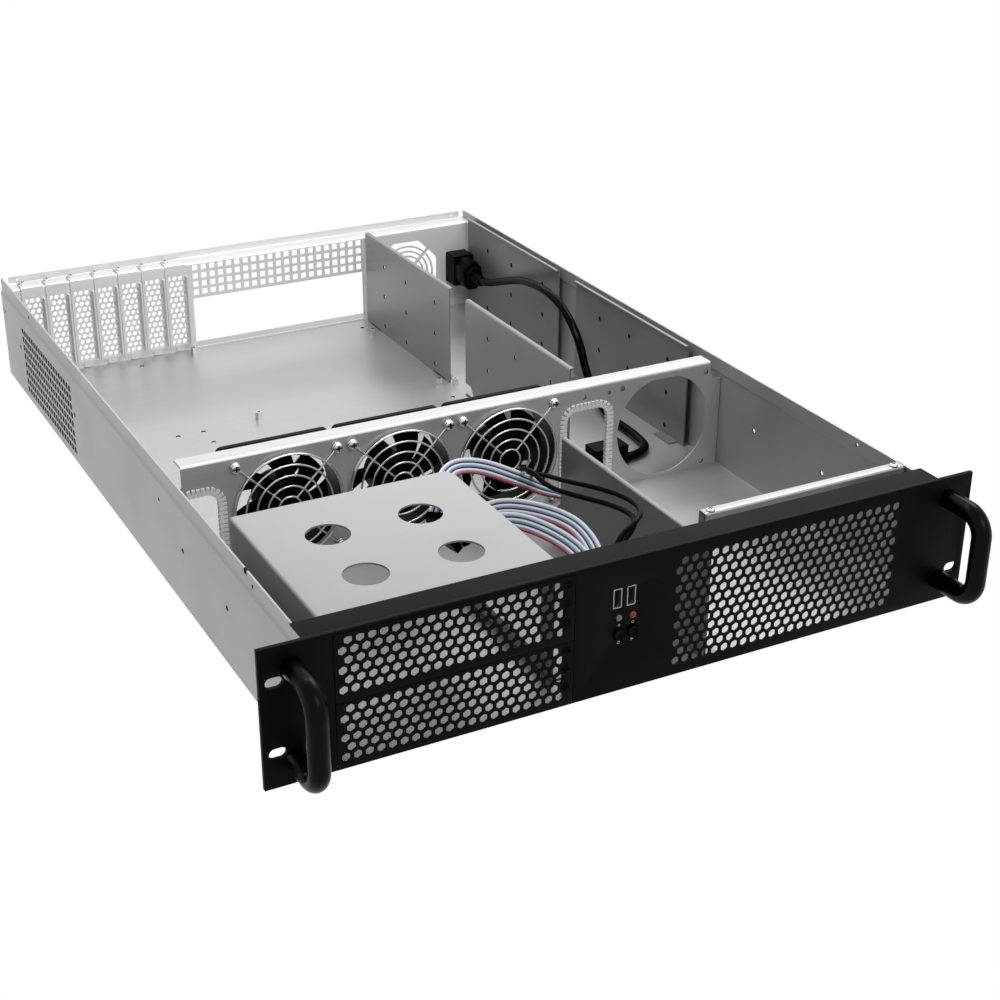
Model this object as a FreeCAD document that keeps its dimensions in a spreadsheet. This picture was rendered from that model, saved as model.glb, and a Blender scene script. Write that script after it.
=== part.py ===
"""An empty 2U rackmount server case for a 19 inch rack, with its lid off.

X runs across the rack to the right as seen from the front, Y runs towards the
rear, Z runs up.  The origin lies on the front face of the front panel, in the
middle of the four slots of its two ears.  Inside this file heights are counted
from the bottom edge of the panel, and every finished piece is then lowered by
half the panel height.
"""
import FreeCAD
import Part
import Sketcher
import math
import os
import re

from FreeCAD import Vector

doc = FreeCAD.newDocument("RackCase")
dims = doc.addObject("Spreadsheet::Sheet", "Dims")
# Driving dimensions in millimetres.  A text is a size worked out from others.
SIZES = {
    # Rack and panel
    "panel_width": 482.6,
    "panel_height": 88.1,
    "panel_thick": 3.0,
    "slot_spacing": "panel_width - 17.5",
    "slot_rise": 44.45,
    "slot_height": 6.8,
    "slot_length": 10.4,
    "flange_depth": 16.5,
    "flange_width": "body_width + 1.8",
    "flange_thick": 1.2,
    # Folded body
    "sheet_thick": 1.2,
    "body_width": "panel_width - 54.4",
    "body_depth": 660.0,
    "wall_top": "panel_height - 2.5",
    "floor_rise": 1.0,
    "joggle_level": "wall_top - 12",
    "joggle_rise": 1.6,
    "joggle_inset": 1.1,
    "bend_radius": 2.0,
    "lip_return": 9.0,
    "fit_gap": 0.3,
    # Side vent, in the left wall only
    "vent_start": "body_depth - 202",
    "vent_level": 9.4,
    "vent_hole": 14.0,
    "vent_length": 26.0,
    "vent_step": 36.0,
    "vent_rise": 19.6,
    "vent_columns": 4,
    "vent_rows": 3,
    # Bay covers with their hexagon fields
    "bay_left": "-(body_width / 2 - 15.5)",
    "bay_width": 149.5,
    "bay_height": "panel_height - 1.9",
    "cover_thick": 1.6,
    "cover_edge": 10.0,
    "cover_gap": 0.35,
    "hex_flats": 17.0,
    "hex_step": 32.0,
    "hex_rise": 19.0,
    "cover_hex_flats": 16.0,
    "cover_hex_step": 28.0,
    "cover_hex_rise": 19.2,
    "cover_hex_left": -187.4,
    "cover_hex_level": 11.6,
    "cover_hex_columns": 5,
    "cover_hex_rows": 2,
    "field_left": 33.0,
    "field_level": 14.2,
    "field_columns": 5,
    "field_rows": 4,
    # Controls in the panel
    "usb_first": -20.5,
    "usb_pitch": 9.3,
    "usb_level": 62.7,
    "usb_width": 5.9,
    "usb_height": 12.9,
    "usb_depth": 14.0,
    "light_left": -19.3,
    "light_pitch": 9.4,
    "light_level": 49.6,
    "light_radius": 2.3,
    "button_level": 39.3,
    "button_radius": 3.5,
    "button_stroke": 1.4,
    "button_proud": 1.8,
    "board_gap": 9.0,
    "board_thick": 1.6,
    "board_width": 34.0,
    "board_height": 62.0,
    # Handles
    "handle_offset": "panel_width / 2 - 18.8",
    "handle_reach": 34.0,
    "handle_bar": 6.35,
    "handle_bend": 14.0,
    "handle_foot": 15.5,
    "handle_pitch": 58.0,
    # Drive bay cage
    "cage_front": 23.5,
    "cage_depth": 135.2,
    "cage_width": 149.1,
    "cage_top": "panel_height - 2.6",
    "cage_hole": 13.75,
    "cage_hole_span": 60.6,
    "cage_hole_pitch": 55.2,
    "cage_window": 60.0,
    "cage_window_drop": 12.0,
    "cage_window_front": 14.0,
    "cage_foot": 8.0,
    "cage_hole_start": 60.1,
    # Fan wall
    "fan_wall_face": 239.0,
    "fan_wall_top": "panel_height - 2.2",
    "fan_wall_half": "body_width / 2 - 1.6",
    "fan_flange_depth": 13.5,
    "fan_flange_left": "-(body_width / 2 - 12.4)",
    "fan_flange_right": "body_width / 2 - 11.3",
    "fan_first": -129.9,
    "fan_pitch": 82.45,
    "fan_level": 42.8,
    "fan_side": 80.0,
    "fan_depth": 25.0,
    "fan_bore": 38.0,
    "fan_screw_offset": 35.75,
    "fan_screw_radius": 2.1,
    "spare_opening": 163.3,
    "spare_flat": 36.0,
    "window_left": 77.0,
    "window_right": 120.7,
    "window_top": 74.0,
    "window_round": 10.0,
    "notch_right": -172.6,
    "notch_top": 69.0,
    "notch_left": "-(body_width / 2 - 7.1)",
    "edging_thick": 2.2,
    "edging_width": 3.6,
    # Fan rotor
    "hub_radius": 17.0,
    "hub_depth": 17.0,
    "blade_tip": 34.0,
    "blade_chord": 21.0,
    "blade_thick": 1.4,
    "blade_pitch": 42.0,
    "blade_root": 9.0,
    "blade_count": 7,
    "shaft_radius": 1.6,
    "shaft_clearance": 0.05,
    "strut_width": 4.0,
    "mount_depth": 3.0,
    # Wire guard
    "wire_size": 1.8,
    "ring_first": 12.0,
    "ring_step": 24.0,
    "ring_count": 2,
    "screw_shank": 1.95,
    "screw_head": 3.3,
    "screw_head_height": 2.0,
    # Divider and front rail
    "divider_left": 44.5,
    "divider_rear": 181.0,
    "divider_top": "panel_height - 8.1",
    "divider_lip": 3.0,
    "divider_foot": 12.0,
    "rail_front": 29.5,
    "rail_depth": 7.0,
    "rail_left": 58.0,
    "rail_top": "panel_height - 1.7",
    "rail_drop": 9.0,
    # Drive plates
    "inner_plate": 104.5,
    "outer_plate": "body_width / 2 - 7.1",
    "rear_plate_start": "body_depth - 188",
    "front_plate_start": "body_depth - 385",
    "plate_length": 167.5,
    "plate_top": "panel_height - 3.1",
    "plate_lip": 3.5,
    "plate_foot": 9.0,
    "plate_foot_length": 22.0,
    "plate_foot_start": 8.0,
    "plate_foot_end": 30.0,
    "plate_corner": 16.0,
    "drive_hole_radius": 1.9,
    "drive_hole_level": 10.0,
    "drive_hole_rise": 27.2,
    "drive_hole_first": "body_depth - 161.1",
    "drive_hole_third": 101.6,
    "drive_row_shift": 200.5,
    # Rear panel
    "rear_wall": "body_depth - 15",
    "rear_shelf": "wall_top - 5.9",
    "rear_lip_half": "body_width / 2 - 7.1",
    "rear_flange": 18.0,
    "cover_first": -192.2,
    "cover_pitch": 20.32,
    "cover_width": 18.4,
    "cover_foot": 6.0,
    "cover_tab": 12.0,
    "cover_window": 12.8,
    "cover_window_low": 9.5,
    "cover_window_high": 73.0,
    "cover_side": 5.0,
    "cover_hole_radius": 5.0,
    "cover_hole_low": 22.0,
    "cover_hole_rise": 30.0,
    "cover_holes": 2,
    "io_left": -55.9,
    "io_width": 158.75,
    "io_height": 44.45,
    "io_level": 3.4,
    "grid_left": -53.5,
    "grid_level": 53.5,
    "grid_hole": 9.0,
    "grid_length": 24.0,
    "grid_step": 31.6,
    "grid_rise": 13.4,
    "grid_columns": 5,
    "grid_rows": 2,
    "grille_across": 146.0,
    "grille_level": 38.3,
    "grille_half": 30.6,
    "grille_spoke": 4.0,
    "grille_ring": 3.0,
    # Power inlet and its lead
    "inlet_across": "body_width / 2 - 17.7",
    "inlet_level": 39.8,
    "inlet_width": 20.0,
    "inlet_height": 28.0,
    "inlet_depth": 17.0,
    "inlet_flange": 22.6,
    "inlet_flange_height": 50.0,
    "inlet_flange_thick": 2.5,
    "inlet_screw_pitch": 40.0,
    "plug_width": 18.0,
    "plug_height": 26.0,
    "plug_depth": 24.0,
    "lead_radius": 3.4,
    "ribbon_radius": 2.4,
    "wire_radius": 1.7,
    # Standoffs on the floor
    "standoff_height": 6.4,
    "standoff_radius": 2.9,
}
for row, alias in enumerate(SIZES, 1):
    dims.set("A%d" % row, alias.replace("_", " "))
    number = SIZES[alias]
    dims.set("B%d" % row, "=" + number if isinstance(number, str) else str(number))
    dims.setAlias("B%d" % row, alias)
doc.recompute()

WORD = re.compile(r"[a-z][a-z_]*[a-z]")


def formula(text):
    """Turns plain words into cells of the sheet."""
    return WORD.sub(lambda word: "Dims." + word.group(0), str(text))


def value(alias):
    """The number in the cell with this alias."""
    return float(dims.get(alias))


def bind(item, **rules):
    """Binds properties of an object to formulas of the sheet."""
    for name in rules:
        item.setExpression(name, formula(rules[name]))
    return item


def at(item, x, y, z):
    """Binds the place of an object to three formulas."""
    item.setExpression("Placement.Base.x", formula(x))
    item.setExpression("Placement.Base.y", formula(y))
    item.setExpression("Placement.Base.z", formula(z))
    return item


def turn(item, axis, angle):
    """Turns an object about its own origin."""
    item.Placement = FreeCAD.Placement(Vector(0, 0, 0), FreeCAD.Rotation(axis, angle))
    return item


def block(name, x, y, z, across, deep, high):
    """A box from its lowest corner and its three sizes."""
    item = doc.addObject("Part::Box", name)
    bind(item, Length=across, Width=deep, Height=high)
    return at(item, x, y, z)


AXES = {"X": (Vector(0, 1, 0), 90), "Y": (Vector(1, 0, 0), -90), "Z": (Vector(0, 0, 1), 0)}


def rod(name, axis, x, y, z, radius, length):
    """A cylinder that starts at a point and runs along +X, +Y or +Z."""
    item = doc.addObject("Part::Cylinder", name)
    turn(item, *AXES[axis])
    bind(item, Radius=radius, Height=length)
    return at(item, x, y, z)


def peg(name, axis, x, y, z, radius, length, sides=8):
    """A many-sided prism that starts at a point and runs along +X, +Y or +Z."""
    item = doc.addObject("Part::Prism", name)
    item.Polygon = sides
    turn(item, *AXES[axis])
    bind(item, Circumradius=radius, Height=length)
    return at(item, x, y, z)


def join(name, parts):
    """One solid from several that meet."""
    item = doc.addObject("Part::MultiFuse", name)
    item.Shapes = parts
    item.Refine = True
    return item


def group(name, parts):
    """Separate solids that share one name."""
    item = doc.addObject("Part::Compound", name)
    item.Links = parts
    return item


def cut(name, base, tools):
    """A solid with one or several tools taken away."""
    item = doc.addObject("Part::Cut", name)
    item.Base = base
    item.Tool = tools[0] if len(tools) == 1 else group(name + "_tools", tools)
    item.Refine = False
    return item


def made(name, shape):
    """An object with a shape that is worked out here from the sheet."""
    item = doc.addObject("Part::Feature", name)
    item.Shape = shape
    return item


def plane(body, role):
    """One of the origin planes of a body."""
    return [item for item in body.Origin.OriginFeatures if item.Role == role][0]


def outline(body, name, role, corners):
    """A closed sketch whose corners are each bound to two formulas."""
    sketch = body.newObject("Sketcher::SketchObject", name)
    sketch.AttachmentSupport = [(plane(body, role), "")]
    sketch.MapMode = "FlatFace"
    count = len(corners)
    for k in range(count):
        angle = 2 * math.pi * k / count
        after = 2 * math.pi * (k + 1) / count
        start = Vector(50 * math.cos(angle), 50 * math.sin(angle), 0)
        end = Vector(50 * math.cos(after), 50 * math.sin(after), 0)
        sketch.addGeometry(Part.LineSegment(start, end), False)
    for k in range(count):
        sketch.addConstraint(Sketcher.Constraint("Coincident", k, 2, (k + 1) % count, 1))
    for k, (across, up) in enumerate(corners):
        place = sketch.Geometry[k].StartPoint
        first = sketch.addConstraint(Sketcher.Constraint("DistanceX", -1, 1, k, 1, place.x))
        second = sketch.addConstraint(Sketcher.Constraint("DistanceY", -1, 1, k, 1, place.y))
        sketch.setExpression("Constraints[%d]" % first, formula(across))
        sketch.setExpression("Constraints[%d]" % second, formula(up))
    return sketch


def padded(name, role, corners, length, reverse):
    """A body with one outline padded to a length."""
    body = doc.addObject("PartDesign::Body", name)
    sketch = outline(body, name + "_outline", role, corners)
    pad = body.newObject("PartDesign::Pad", name + "_pad")
    pad.Profile = sketch
    pad.setExpression("Length", formula(length))
    pad.Reversed = reverse
    body.Tip = pad
    doc.recompute()
    return body


def round_bends(body, radius, chosen):
    """Rounds the edges of a body's pad whose middle the test picks."""
    pad = body.Tip
    names = []
    for k, edge in enumerate(pad.Shape.Edges):
        if chosen(edge):
            names.append("Edge%d" % (k + 1))
    bend = body.newObject("PartDesign::Fillet", body.Name + "_bends")
    bend.Base = (pad, names)
    bend.setExpression("Radius", formula(radius))
    body.Tip = bend
    doc.recompute()
    return body


nodes = []


def node(label, item):
    """Names a finished piece and lowers it to the origin of the part."""
    item.Label = label
    rules = dict((path.lstrip("."), rule) for path, rule in item.ExpressionEngine)
    height = rules.get("Placement.Base.z", "0")
    item.setExpression("Placement.Base.z", "(" + height + ") - Dims.panel_height / 2")
    nodes.append(item)
    return item


def prisms(sides, flats, start, depth, centres, first_angle):
    """Prisms along +Y with a regular outline, at many centres."""
    radius = flats / 2 / math.cos(math.pi / sides)
    tools = []
    for x, z in centres:
        ring = []
        for k in range(sides + 1):
            angle = first_angle + 2 * math.pi * k / sides
            ring.append(Vector(x + radius * math.cos(angle), start, z + radius * math.sin(angle)))
        face = Part.Face(Part.makePolygon(ring))
        tools.append(face.extrude(Vector(0, depth, 0)))
    return Part.Compound(tools)


def field(left, level, step, rise, columns, rows, staggered):
    """The centres of a field of holes, row by row."""
    places = []
    for row in range(int(rows)):
        shift = step / 2 if staggered and row % 2 else 0
        for column in range(int(columns)):
            places.append((left + shift + column * step, level + row * rise))
    return places


# The tray: floor and two side walls folded from one sheet
half = "body_width / 2"
low = "floor_rise"
inner = "(body_width / 2 - sheet_thick)"
band = "(body_width / 2 - joggle_inset)"
band_inner = "(body_width / 2 - joggle_inset - sheet_thick)"
knee = "(joggle_level + joggle_rise)"
tray_corners = [
    ("-" + half, low), (half, low), (half, "joggle_level"), (band, knee),
    (band, "wall_top"), (band_inner, "wall_top"), (band_inner, knee),
    (inner, "joggle_level"), (inner, "floor_rise + sheet_thick"),
    ("-" + inner, "floor_rise + sheet_thick"), ("-" + inner, "joggle_level"),
    ("-" + band_inner, knee), ("-" + band_inner, "wall_top"), ("-" + band, "wall_top"),
    ("-" + band, knee), ("-" + half, "joggle_level"),
]
tray_body = padded("Tray", "XZ_Plane", tray_corners, "body_depth - panel_thick", True)


def outer_bend(edge):
    """The two long outer edges under the floor."""
    middle = edge.CenterOfMass
    long_edge = edge.Length > value("body_depth") / 2
    at_side = abs(abs(middle.x) - value("body_width") / 2) < 0.01
    return long_edge and at_side and abs(middle.z - value("floor_rise")) < 0.01


tray_body = round_bends(tray_body, "bend_radius", outer_bend)
at(tray_body, 0, "panel_thick", 0)
vent_tools = []
for row in range(int(value("vent_rows"))):
    for column in range(int(value("vent_columns"))):
        tool = block(
            "Vent", "-body_width / 2 - 1", "vent_start + %d * vent_step" % column,
            "vent_level + %d * vent_rise" % row, "sheet_thick + 2", "vent_length", "vent_hole")
        vent_tools.append(tool)
for k, (y, z) in enumerate([("206.7", "44.1"), ("126.4", "43.3"), ("608.8", "43.4"), ("452.1", "43.4")]):
    vent_tools.append(peg("WallHole", "X", "-body_width / 2 - 1", y, z, "drive_hole_radius", "sheet_thick + 2", 4))
for k, (y, z) in enumerate([("194.8", "45.4"), ("114.4", "45.5")]):
    vent_tools.append(peg("WallHole", "X", "body_width / 2 - sheet_thick - 1", y, z,
                          "drive_hole_radius", "sheet_thick + 2", 4))
for x, y in [("-111.3", "625.2"), ("-131.5", "470.2"), ("-110.7", "447.5"), ("93.5", "444.1")]:
    vent_tools.append(peg("FloorHole", "Z", x, y, "floor_rise - 1", "drive_hole_radius", "sheet_thick + 2", 4))
tray = node("chassis_tray", cut("TrayCut", tray_body, vent_tools))

# The front panel: a plate with two ears and a flange folded back on top
panel_plate = block("PanelPlate", "-panel_width / 2", 0, 0, "panel_width", "panel_thick", "panel_height")
panel_flange = block("PanelFlange", "-flange_width / 2", "panel_thick", "panel_height - flange_thick",
                     "flange_width", "flange_depth", "flange_thick")
panel_solid = join("PanelSolid", [panel_plate, panel_flange])
panel_tools = [block("BayOpening", "bay_left", -1, "-1", "bay_width", "panel_thick + 2", "bay_height + 1")]
for side in (-1, 1):
    for level in (-1, 1):
        x = "%d * slot_spacing / 2" % side
        z = "panel_height / 2 + %d * slot_rise / 2" % level
        run = "slot_length - slot_height"
        panel_tools.append(block("SlotMiddle", x + " - (" + run + ") / 2", -1, z + " - slot_height / 2",
                                 run, "panel_thick + 2", "slot_height"))
        for end in (-1, 1):
            panel_tools.append(rod("SlotEnd", "Y", x + " + %d * (" % end + run + ") / 2", -1, z,
                                   "slot_height / 2", "panel_thick + 2"))
slot_tools = join("SlotTools", panel_tools[1:])
panel_tools = [panel_tools[0], slot_tools]
for k in range(2):
    panel_tools.append(block("UsbHole", "usb_first + %d * usb_pitch - usb_width / 2 - fit_gap" % k, -1,
                             "usb_level - usb_height / 2 - fit_gap", "usb_width + 2 * fit_gap",
                             "panel_thick + 2", "usb_height + 2 * fit_gap"))
    panel_tools.append(peg("LightHole", "Y", "light_left + %d * light_pitch" % k, -1, "light_level",
                           "light_radius + fit_gap", "panel_thick + 2"))
    panel_tools.append(peg("ButtonHole", "Y", "light_left + %d * light_pitch" % k, -1, "button_level",
                           "button_radius + 2 * fit_gap", "panel_thick + 2", 10))
    for foot in ("handle_foot", "handle_foot + handle_pitch"):
        panel_tools.append(peg("HandleHole", "Y", "%d * handle_offset" % (2 * k - 1), -1, foot,
                               "screw_shank + fit_gap / 3", "panel_thick + 2", 6))
hexes = field(value("field_left"), value("field_level"), value("hex_step"), value("hex_rise"),
              value("field_columns"), value("field_rows"), True)
panel_tools.append(made("PanelHexes", prisms(6, value("hex_flats"), -1, value("panel_thick") + 2, hexes, math.pi / 6)))
front_panel = node("front_panel", cut("PanelCut", panel_solid, panel_tools))

# The two covers of the 5.25 inch bay
cover_tall = "(bay_height - 2 * cover_gap) / 2"
covers = [("lower", "0"), ("upper", cover_tall + " + cover_gap")]
for label, level in covers:
    plate = block("Cover_" + label, "bay_left + cover_gap", 0, level, "bay_width - 2 * cover_gap",
                  "cover_thick", cover_tall)
    base_level = 0 if label == "lower" else (value("bay_height") - 2 * value("cover_gap")) / 2 + value("cover_gap")
    places = field(value("cover_hex_left"), base_level + value("cover_hex_level"), value("cover_hex_step"),
                   value("cover_hex_rise"), value("cover_hex_columns"), value("cover_hex_rows"), True)
    tool = made("Hexes_" + label, prisms(6, value("cover_hex_flats"), -1, value("cover_thick") + 2, places, math.pi / 6))
    edge_low = "floor_rise + sheet_thick + fit_gap" if label == "lower" else level
    edge_tall = cover_tall + " - (" + edge_low + ") + (" + level + ")"
    edge_left = block("CoverEdge_" + label, "bay_left + cover_gap", "cover_thick", edge_low, "sheet_thick",
                      "cover_edge", edge_tall)
    edge_right = block("CoverSide_" + label, "bay_left + bay_width - cover_gap - sheet_thick", "cover_thick",
                       edge_low, "sheet_thick", "cover_edge", edge_tall)
    solid = join("CoverSolid_" + label, [plate, edge_left, edge_right])
    node("bay_cover_" + label, cut("CoverCut_" + label, solid, [tool]))

def tube(spots, ways, radius, sides):
    """A solid bar through sections at the spots, each square to its way."""
    rings = []
    start = Vector(ways[0]).cross(Vector(0, 0, 1))
    if start.Length < 0.1:
        start = Vector(1, 0, 0)
    for spot, way in zip(spots, ways):
        ahead = Vector(way).normalize()
        start = (start - ahead * start.dot(ahead)).normalize()
        up = ahead.cross(start)
        ring = []
        for k in range(sides):
            angle = 2 * math.pi * (k + 0.5) / sides
            ring.append(spot + start * (radius * math.cos(angle)) + up * (radius * math.sin(angle)))
        rings.append(ring)
    faces = [Part.Face(Part.makePolygon(ring + [ring[0]])) for ring in (rings[0], rings[-1])]
    for near, far in zip(rings, rings[1:]):
        for k in range(sides):
            after = (k + 1) % sides
            corners = [near[k], near[after], far[after], far[k]]
            normal = (corners[1] - corners[0]).cross(corners[3] - corners[0]).normalize()
            if abs(normal.dot(corners[2] - corners[0])) < 1e-6:
                faces.append(Part.Face(Part.makePolygon(corners + [corners[0]])))
            else:
                faces.append(Part.Face(Part.makePolygon([corners[0], corners[1], corners[2], corners[0]])))
                faces.append(Part.Face(Part.makePolygon([corners[0], corners[2], corners[3], corners[0]])))
    solid = Part.Solid(Part.Shell(faces))
    if solid.Volume < 0:
        solid.reverse()
    return solid


def handle_bow():
    """One bow: out of the panel, round two bends and back again."""
    reach = value("handle_reach")
    bend = value("handle_bend")
    foot = value("handle_foot")
    upper = foot + value("handle_pitch")
    spots = [Vector(0, 0, upper)]
    ways = [Vector(0, -1, 0)]
    steps = 3
    for k in range(steps + 1):
        angle = math.pi / 2 * k / steps
        spots.append(Vector(0, -reach + bend - bend * math.sin(angle), upper - bend + bend * math.cos(angle)))
        ways.append(Vector(0, -math.cos(angle), -math.sin(angle)))
    for k in range(steps + 1):
        angle = math.pi / 2 * k / steps
        spots.append(Vector(0, -reach + bend - bend * math.cos(angle), foot + bend - bend * math.sin(angle)))
        ways.append(Vector(0, math.sin(angle), -math.cos(angle)))
    spots.append(Vector(0, 0, foot))
    ways.append(Vector(0, 1, 0))
    return tube(spots, ways, value("handle_bar"), 8)


# The two handles: round bows on the ears, each with two feet
for name, side in (("left", -1), ("right", 1)):
    x = "%d * handle_offset" % side
    node("handle_" + name, at(made("Handle_" + name, handle_bow()), x, 0, 0))
handle_screws = []
for side in (-1, 1):
    for foot in ("handle_foot", "handle_foot + handle_pitch"):
        handle_screws.append(peg("HandleScrew", "Y", "%d * handle_offset" % side, "panel_thick", foot,
                                 "screw_head", "screw_head_height", 6))
node("handle_screws", group("HandleScrews", handle_screws))

# Controls: board, ports, lights and two sprung buttons
board_back = "panel_thick + board_gap"
node("control_board", block("Board", "light_left + light_pitch / 2 - board_width / 2", board_back, "12",
                            "board_width", "board_thick", "board_height"))
ports = []
for k in range(2):
    x = "usb_first + %d * usb_pitch" % k
    shell = block("UsbShell", x + " - usb_width / 2", "0.2", "usb_level - usb_height / 2", "usb_width",
                  board_back + " - 0.2", "usb_height")
    mouth = block("UsbMouth", x + " - usb_width / 2 + 0.5", -1, "usb_level - usb_height / 2 + 0.5",
                  "usb_width - 1", "9", "usb_height - 1")
    tongue = block("UsbTongue", x + " - 1.6", "1.2", "usb_level - usb_height / 2 + 1.2", "1.6", "9",
                   "usb_height - 2.4")
    ports.append(join("UsbPort", [cut("UsbCut", shell, [mouth]), tongue]))
node("usb_ports", group("UsbPorts", ports))
for k, name in enumerate(("power_light", "drive_light")):
    x = "light_left + %d * light_pitch" % k
    node(name, peg("Light_" + name, "Y", x, "-1", "light_level", "light_radius", board_back + " + 1"))
for k, name in enumerate(("power_button", "reset_button")):
    x = "light_left + %d * light_pitch" % k
    cap = peg("Cap", "Y", x, "-button_proud", "button_level", "button_radius", "button_proud + panel_thick", 10)
    collar = block("Collar", x + " - button_radius - 0.4", "panel_thick + fit_gap", "button_level - button_radius - 0.4",
                   "2 * button_radius + 0.8", "1.2", "2 * button_radius + 0.8")
    neck = block("Neck", x + " - 1.5", "panel_thick - 0.5", "button_level - 1.5", "3", "2.7", "3")
    node(name, join("Button_" + name, [cap, collar, neck]))
switches = []
for k in range(2):
    body = block("Switch", "light_left + %d * light_pitch - 3" % k,
                 "panel_thick + 2.2 + button_stroke + fit_gap", "button_level - 3", "6",
                 "board_gap - 2.2 - button_stroke - fit_gap", "6")
    switches.append(body)
node("button_switches", group("Switches", switches))

# The cage of the drive bay: a top with four round holes and two legs
cage_left = "bay_left + 0.2"
cage_low = "floor_rise + sheet_thick"
cage_top = block("CageTop", cage_left, "cage_front", "cage_top - sheet_thick", "cage_width", "cage_depth",
                 "sheet_thick")
cage_sides = []
for x in (cage_left, cage_left + " + cage_width - sheet_thick"):
    cage_sides.append(block("CageSide", x, "cage_front", cage_low, "sheet_thick", "cage_depth",
                            "cage_top - " + cage_low))
cage_foot = block("CageFoot", cage_left + " + cage_width", "cage_front", cage_low, "cage_foot", "cage_depth", "sheet_thick")
cage_tools = []
for i in (-1, 1):
    for j in (-1, 1):
        cage_tools.append(peg("CageHole", "Z", cage_left + " + cage_width / 2 + %d * cage_hole_span / 2" % i,
                              "cage_front + cage_hole_start + %d * cage_hole_pitch / 2" % j, "cage_top - 5", "cage_hole",
                              10, 12))
cage_tools.append(block("CageWindow", cage_left + " + cage_width - 5", "cage_front + cage_window_front",
                        "cage_top - cage_window_drop - cage_window", "10", "cage_depth", "cage_window"))
cage = join("CageSolid", [cage_top, cage_foot] + cage_sides)
node("drive_bay_cage", cut("CageCut", cage, cage_tools))

# The fan wall: three fan openings, a spare one and two cable windows
wall_low = "floor_rise + sheet_thick"
wall_plate = block("FanWall", "-fan_wall_half", "fan_wall_face", wall_low, "2 * fan_wall_half", "sheet_thick",
                   "fan_wall_top - joggle_inset - (" + wall_low + ")")
wall_trim = [
    block("WallTrim", "-fan_wall_half - 1", "fan_wall_face - 1", "joggle_level - 2", "fan_flange_left + fan_wall_half + 1",
          "4", "20"),
    block("WallTrim", "fan_flange_right", "fan_wall_face - 1", "joggle_level - 2", "20", "4", "20"),
]
wall_flange = block("FanFlange", "fan_flange_left", "fan_wall_face", "fan_wall_top - sheet_thick",
                    "fan_flange_right - fan_flange_left", "fan_flange_depth", "sheet_thick")
wall_foot = block("FanFoot", "-fan_wall_half + 20", "fan_wall_face - 10", wall_low,
                  "window_left - 10 + fan_wall_half - 20", "10", "sheet_thick")
wall_solid = join("FanWallSolid", [cut("FanWallTrimmed", wall_plate, wall_trim), wall_flange, wall_foot])
fan_places = ["fan_first + %d * fan_pitch" % k for k in range(3)]
wall_tools = []
for x in fan_places:
    wall_tools.append(peg("FanOpening", "Y", x, "fan_wall_face - 1", "fan_level", "fan_bore", "sheet_thick + 2", 16))
spare_round = peg("SpareRound", "Y", "spare_opening", "fan_wall_face - 1", "fan_level", "fan_bore", "sheet_thick + 2",
                  16)
spare_box = block("SpareBox", "spare_opening - fan_bore", "fan_wall_face - 2", "fan_level - fan_bore",
                  "fan_bore + spare_flat", "sheet_thick + 4", "fan_bore + spare_flat")
spare = doc.addObject("Part::Common", "SpareOpening")
spare.Base = spare_round
spare.Tool = spare_box
wall_tools.append(spare)
for i in (-1, 1):
    for j in (-1, 1):
        wall_tools.append(rod("FanScrewHole", "Y", "spare_opening + %d * fan_screw_offset" % i, "fan_wall_face - 1",
                              "fan_level + %d * fan_screw_offset" % j, "fan_screw_radius", "sheet_thick + 2"))


def arch(name, left, right, top, low_level, start, depth, radius):
    """An opening with two rounded upper corners, open at the foot."""
    body = block(name + "_body", left, start, low_level, "(" + right + ") - (" + left + ")", depth,
                 "(" + top + ") - (" + low_level + ") - " + radius)
    bridge = block(name + "_bridge", "(" + left + ") + " + radius, start, low_level,
                   "(" + right + ") - (" + left + ") - 2 * " + radius, depth, "(" + top + ") - (" + low_level + ")")
    left_corner = peg(name + "_left", "Y", "(" + left + ") + " + radius, start, "(" + top + ") - " + radius,
                      radius, depth, 8)
    right_corner = peg(name + "_right", "Y", "(" + right + ") - " + radius, start, "(" + top + ") - " + radius,
                       radius, depth, 8)
    return join(name, [body, bridge, left_corner, right_corner])


wall_tools.append(arch("WindowOpening", "window_left", "window_right", "window_top", "0", "fan_wall_face - 1",
                       "sheet_thick + 2", "window_round"))
wall_tools.append(arch("NotchOpening", "notch_left", "notch_right", "notch_top", "20", "fan_wall_face - 1",
                       "sheet_thick + 2", "window_round"))
node("fan_wall", cut("FanWallCut", wall_solid, wall_tools))

# White nylon edging round both cable openings of the fan wall
edge_start = "fan_wall_face - (edging_width - sheet_thick) / 2"
for name, left, right, top, foot in (("right", "window_left", "window_right", "window_top", wall_low),
                                     ("left", "notch_left", "notch_right", "notch_top", "20")):
    outer = arch("EdgeOuter_" + name, left + " - edging_thick / 2", right + " + edging_thick / 2",
                 top + " + edging_thick / 2", foot, edge_start, "edging_width", "(window_round + edging_thick / 2)")
    hollow = arch("EdgeHollow_" + name, left + " + edging_thick / 2", right + " - edging_thick / 2",
                  top + " - edging_thick / 2", foot + " - 1", edge_start + " - 1", "edging_width + 2",
                  "(window_round - edging_thick / 2)")
    sheet_slot = block("EdgeSlot_" + name, left + " - 30", "fan_wall_face - fit_gap / 10", "0",
                       "(" + right + ") - (" + left + ") + 60", "sheet_thick + fit_gap / 5", "85")
    sheet_keep = arch("EdgeKeep_" + name, left, right, top, foot + " - 2", "fan_wall_face - 5", "20", "window_round")
    slot = cut("EdgeGroove_" + name, sheet_slot, [sheet_keep])
    node("edging_" + name, cut("Edging_" + name, outer, [hollow, slot]))

# Fans: frame, rotor, wire guard and their screws
fan_back = "fan_wall_face + sheet_thick"


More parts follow.
